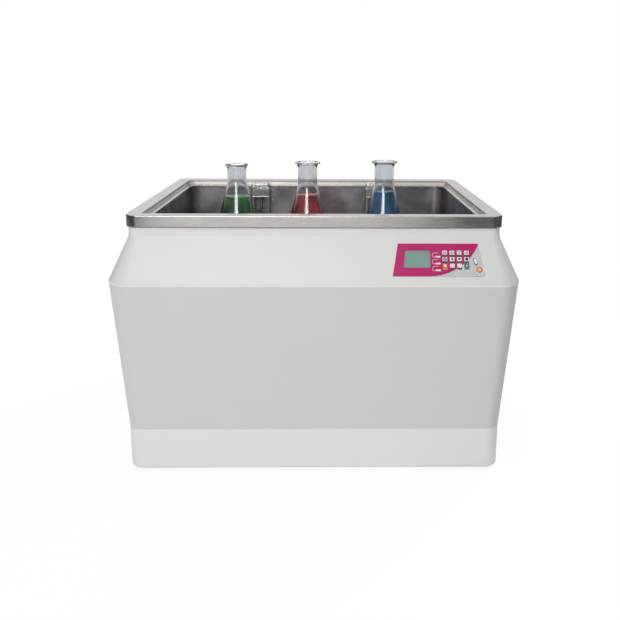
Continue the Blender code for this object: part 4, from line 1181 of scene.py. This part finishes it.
def make_flask(number):
    kind = number - 1
    lip, flare, side = flask_outer(kind)
    inner = [(radius - flask_wall, height) for radius, height in flare[1:] + side
             if height > flask_base_round]
    inner += flask_foot(flask_wall) + [(0, flask_punt + flask_wall)]
    mouth = (mouth_radii[kind] - flask_wall, flask_heights[kind] - flask_lip)
    profile = [(0, flask_punt)] + (lip + flare + side)[::-1] + [mouth] + inner
    spot = at(flask_places[kind], 0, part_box(f"flask_{number}")[0].z)
    finished(f"flask_{number}_glass", moved(turned(profile), spot), glass, f"flask_{number}")
    level = liquid_heights[kind]
    fit = flask_wall + gap
    shoulder, slope = flask_cone(kind)
    edge = neck_radii[kind] - fit + slope * (shoulder - level)
    low = level - meniscus_rise
    wet = [(0, low)] + bent((edge - meniscus_width, low), (edge - meniscus_edge, low), (edge, level), 6)
    wet += flask_foot(fit) + [(0, flask_punt + fit)]
    finished(f"liquid_{number}_fill", moved(turned(wet), spot), liquids[kind], f"liquid_{number}")


def make_clamp(number):
    reach = flask_base_radius + gap * 2 + clamp_sheet
    spot = at(flask_places[number - 1], 0, 0)
    parts = []
    for layer, degrees in enumerate((45, -45)):
        foot = clamp_foot + layer * clamp_step
        top = foot + clamp_height
        right = [(reach, foot), (reach, top - clamp_flare), (reach + clamp_flare, top)]
        shape = strip([(-x, z) for x, z in reversed(right)] + right, clamp_strip, clamp_bend)
        bottom = next(face for face in shape.faces if abs(face.normal.z) > 0.9)
        if bottom.normal.z > 0:
            bmesh.ops.reverse_faces(shape, faces=shape.faces)
        parts.append((moved(shape, spot, turn(degrees, "Z")), sheet_finish))
    piece(f"clamp_{number}_strips", parts, (f"flask_clamp_{number}",), wall=-clamp_sheet, edge=fine_edge)
    boss = moved(bar(clamp_boss, clamp_boss_sheet, sheet_edge, 40), spot, at(0, 0, clamp_foot))
    fitting(f"clamp_{number}_boss", boss, rod_finish, "brushed_steel", "tray")


# Drive below the tank

def make_drive():
    dressed("drive_bracket", sheet_finish, folded_edge)
    dressed("magnet_carriage", aluminium, cast_edge)
    dressed("drive_magnet", magnet_finish, cast_edge)
    dressed("front_guide_rail", rod_finish)
    dressed("rear_guide_rail", rod_finish)
    dressed("crank_disc", brass, sheet_edge)
    dressed("gear_motor", black_plastic, cast_edge)


# Rear cover, mains inlet and drain

def screw_head():
    """A pan head, standing on Z = 0."""
    side = bent((screw_radius, 0), (screw_radius, screw_rise), (screw_radius * 0.4, screw_rise), 6)
    return turned([(0, 0), (screw_radius, 0)] + side + [(0, screw_rise)], 32)


def make_rear():
    place = cover_place()
    outlines = [rectangle(cover_width, cover_length, cover_corner)]
    for row in range(cover_slot_rows):
        for column in range(2):
            spot = ((column - 0.5) * (cover_slot_length + cover_slot_gap),
                    (row - (cover_slot_rows - 1) / 2) * cover_slot_pitch)
            outlines.append(rectangle(cover_slot_length, cover_slot_width, cover_slot_width * 0.499, spot))
    finished("cover_sheet", moved(plate(outlines, cover_sheet, gap), place), white_plastic, "rear_cover",
             edge=folded_edge)
    across, along = cover_width / 2 - screw_inset, cover_length / 2 - screw_inset
    for number, (x, y) in enumerate(((-1, -1), (0, -1), (1, -1), (1, 1), (0, 1), (-1, 1)), 1):
        spot = place @ at(x * across, y * along, gap + cover_sheet)
        cross = [moved(block((*slot, screw_slot_depth), screw_slot_edge), spot, at(0, 0, screw_rise))
                 for slot in (screw_slot, screw_slot[::-1])]
        fitting(f"cover_screw_{number}", moved(screw_head(), spot), rod_finish, "brushed_steel", holes=cross)


def make_inlet():
    dressed("mains_inlet", black_plastic, folded_edge)
    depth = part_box("mains_inlet")[1].y - inlet_pin_depth
    for number, (x, z) in enumerate(inlet_pins, 1):
        pin = moved(block(inlet_pin, folded_edge), at(inlet_place + socket_side + x, depth, inlet_height + z))
        fitting(f"inlet_pin_{number}", pin, brass, "brass")
    dressed("mains_switch", white_key, sheet_edge)


def make_drain():
    dressed("drain_valve", brass, sheet_edge)
    bore = drain_radius + gap
    collar = turned([(bore, 0), (nut_radius, 0), (nut_radius, nut_sheet), (bore, nut_sheet)], 6, True)
    nut = moved(collar, at(drain_place, back_face + gap + nut_sheet, drain_height), turn(90, "X"))
    fitting("drain_nut", nut, brass, "brass", edge=sheet_edge)
    dressed("drain_handle", red_plastic, cast_edge)


# Camera, lamps, floor and backdrop

def make_camera():
    data = bpy.data.cameras.new("camera")
    data.lens = 39.652
    data.sensor_width = 36.0
    data.shift_x = -0.04355
    data.shift_y = -0.15
    camera = placed("camera", data)
    camera.matrix_world = (at(0.0192, -1.5037, 0.7476) @ turn(-1.0136, "Z") @ turn(90 - 10.873, "X")
                           @ turn(0.3642, "Z"))
    bpy.context.scene.camera = camera


def lamp(name, size, place, target, power, only_gloss=False):
    """A lamp that lights surfaces and isn't seen in them, or one that is only seen in them."""
    data = bpy.data.lights.new(name, "AREA")
    data.shape = "RECTANGLE"
    data.size, data.size_y = size
    data.energy = power
    item = placed(name, data)
    item.location = place
    item.rotation_euler = (Vector(target) - Vector(place)).to_track_quat("-Z", "Y").to_euler()
    item.visible_glossy = only_gloss
    item.visible_diffuse = not only_gloss


def seen_share(tree):
    """1 for rays that show the surroundings: straight to the camera, or by gloss or glass."""
    shares = tree.outputs("LightPath", None, (), "Is Camera Ray", "Is Glossy Ray", "Is Transmission Ray")
    return shares[0].most(shares[1]).most(shares[2])


def sheet_of(name, cells, size, finish, *places):
    """A flat square in the scene, after these matrices."""
    shape = bmesh.new()
    bmesh.ops.create_grid(shape, x_segments=cells, y_segments=cells, size=size)
    mesh = mesh_of(name, moved(shape, *places))
    mesh.materials.append(finish.material)
    return placed(name, mesh)


def grey(tone):
    return (tone, tone, tone)


def make_stage():
    finish = Finish("floor", grey(0.8), 0.9)
    x, y = finish.axes()[:2]
    finish.set(Base_Color=finish.tint(x.between(0.1, 0.7), grey(0.65), grey(0.15)))
    far = (x * x + y * y).root().between(0.55, 1.5)
    lit = finish.node("BsdfDiffuse", None, {"Color": finish.tint(far, grey(0.16), grey(0.0))})
    glow = finish.node("Emission", None, {"Color": grey(1.0), "Strength": far * 0.14 + 0.86})
    finish.give_way(seen_share(finish), finish.node("AddShader", None, [lit, glow]))
    sheet_of("floor", 2, 12.0, finish)


def make_cards():
    """Dark cards, seen only in gloss, which give the steel and the glass their dark parts."""
    finish = Finish("dark_card", grey(0.05), 0.8)
    for name, place, degrees, size in (
            ("right_card", (1.19, -1.36, 0.5), 40, (2.0, 1.0)),
            ("left_card", (-1.70, -0.85, 0.5), -57, (1.9, 1.0)),
            ("right_end_card", (2.0, 0.5, 0.5), 90, (2.4, 1.0)),
            ("left_end_card", (-2.2, 1.0, 0.5), 90, (2.2, 1.0)),
            ("back_card", (0.0, 2.6, 0.34), 0, (7.0, 0.70)),
            ("near_left_card", (-0.63, -0.56, 0.35), 0, (0.44, 0.5)),
            ("front_card", (0.0, -3.4, 1.75), 0, (6.4, 1.6)),
            ("right_tall_card", (3.2, -1.1, 1.75), 90, (4.6, 1.6)),
            ("left_tall_card", (-3.2, -1.1, 1.75), 90, (4.6, 1.6))):
        card = sheet_of(name, 1, 0.5, finish, at(*place), turn(degrees, "Z"), turn(90, "X"),
                        Matrix.Diagonal((*size, 1, 1)))
        card.visible_camera = card.visible_diffuse = card.visible_shadow = card.visible_transmission = False


def make_world():
    world = bpy.data.worlds.new("studio")
    world.use_nodes = True
    bpy.context.scene.world = world
    tree = Nodes(world.node_tree)
    sky = world.node_tree.nodes["Background"]
    side, rise = tree.outputs("SeparateXYZ", None, [tree.node("TexCoord", output="Generated")], "X", "Z")
    low = 1 - rise.between(0.20, 0.75)
    right, left = side.most(0.0), (0 - side).most(0.0)
    soft = 0.62 - low * (right * right * 0.95 + left * left * 0.60)
    seen = seen_share(tree)
    gloss = tree.outputs("LightPath", None, (), "Is Glossy Ray")[0] * right * 0.35
    tree.feed(sky.inputs["Color"], grey(1.0))
    tree.feed(sky.inputs["Strength"], seen + (1 - seen) * soft - gloss)


def main():
    make_camera()
    make_world()
    make_stage()
    make_cards()
    lamp("key", (2.2, 1.2), (-0.25, -1.9, 2.3), (0, 0, 0.4), 5)
    lamp("overhead", (2.2, 1.2), (0.0, -0.5, 2.3), (0, -0.2, 0.4), 4)
    lamp("rear_right", (1.8, 1.2), (2.1, 1.8, 1.6), (0, 0, 0.3), 36)
    lamp("rear_left", (1.8, 1.2), (-1.3, 2.4, 1.7), (0, 0, 0.3), 16)
    lamp("front", (1.1, 0.7), (-0.35, -3.2, 1.75), (0, 0, 0.45), 26.5)
    lamp("streak", (1.4, 1.5), (-0.5, -3.2, 1.70), (0, 0, 0.45), 40, only_gloss=True)
    for make in (make_casing, make_plinth, make_base, make_rim, make_tank, make_sensors, make_panel,
                 make_printing, make_keys, make_tray):
        make()
    for number in (1, 2, 3):
        make_flask(number)
        make_clamp(number)
    for make in (make_drive, make_rear, make_inlet, make_drain):
        make()
    view = bpy.context.scene.view_settings
    view.view_transform = "Standard"


main()
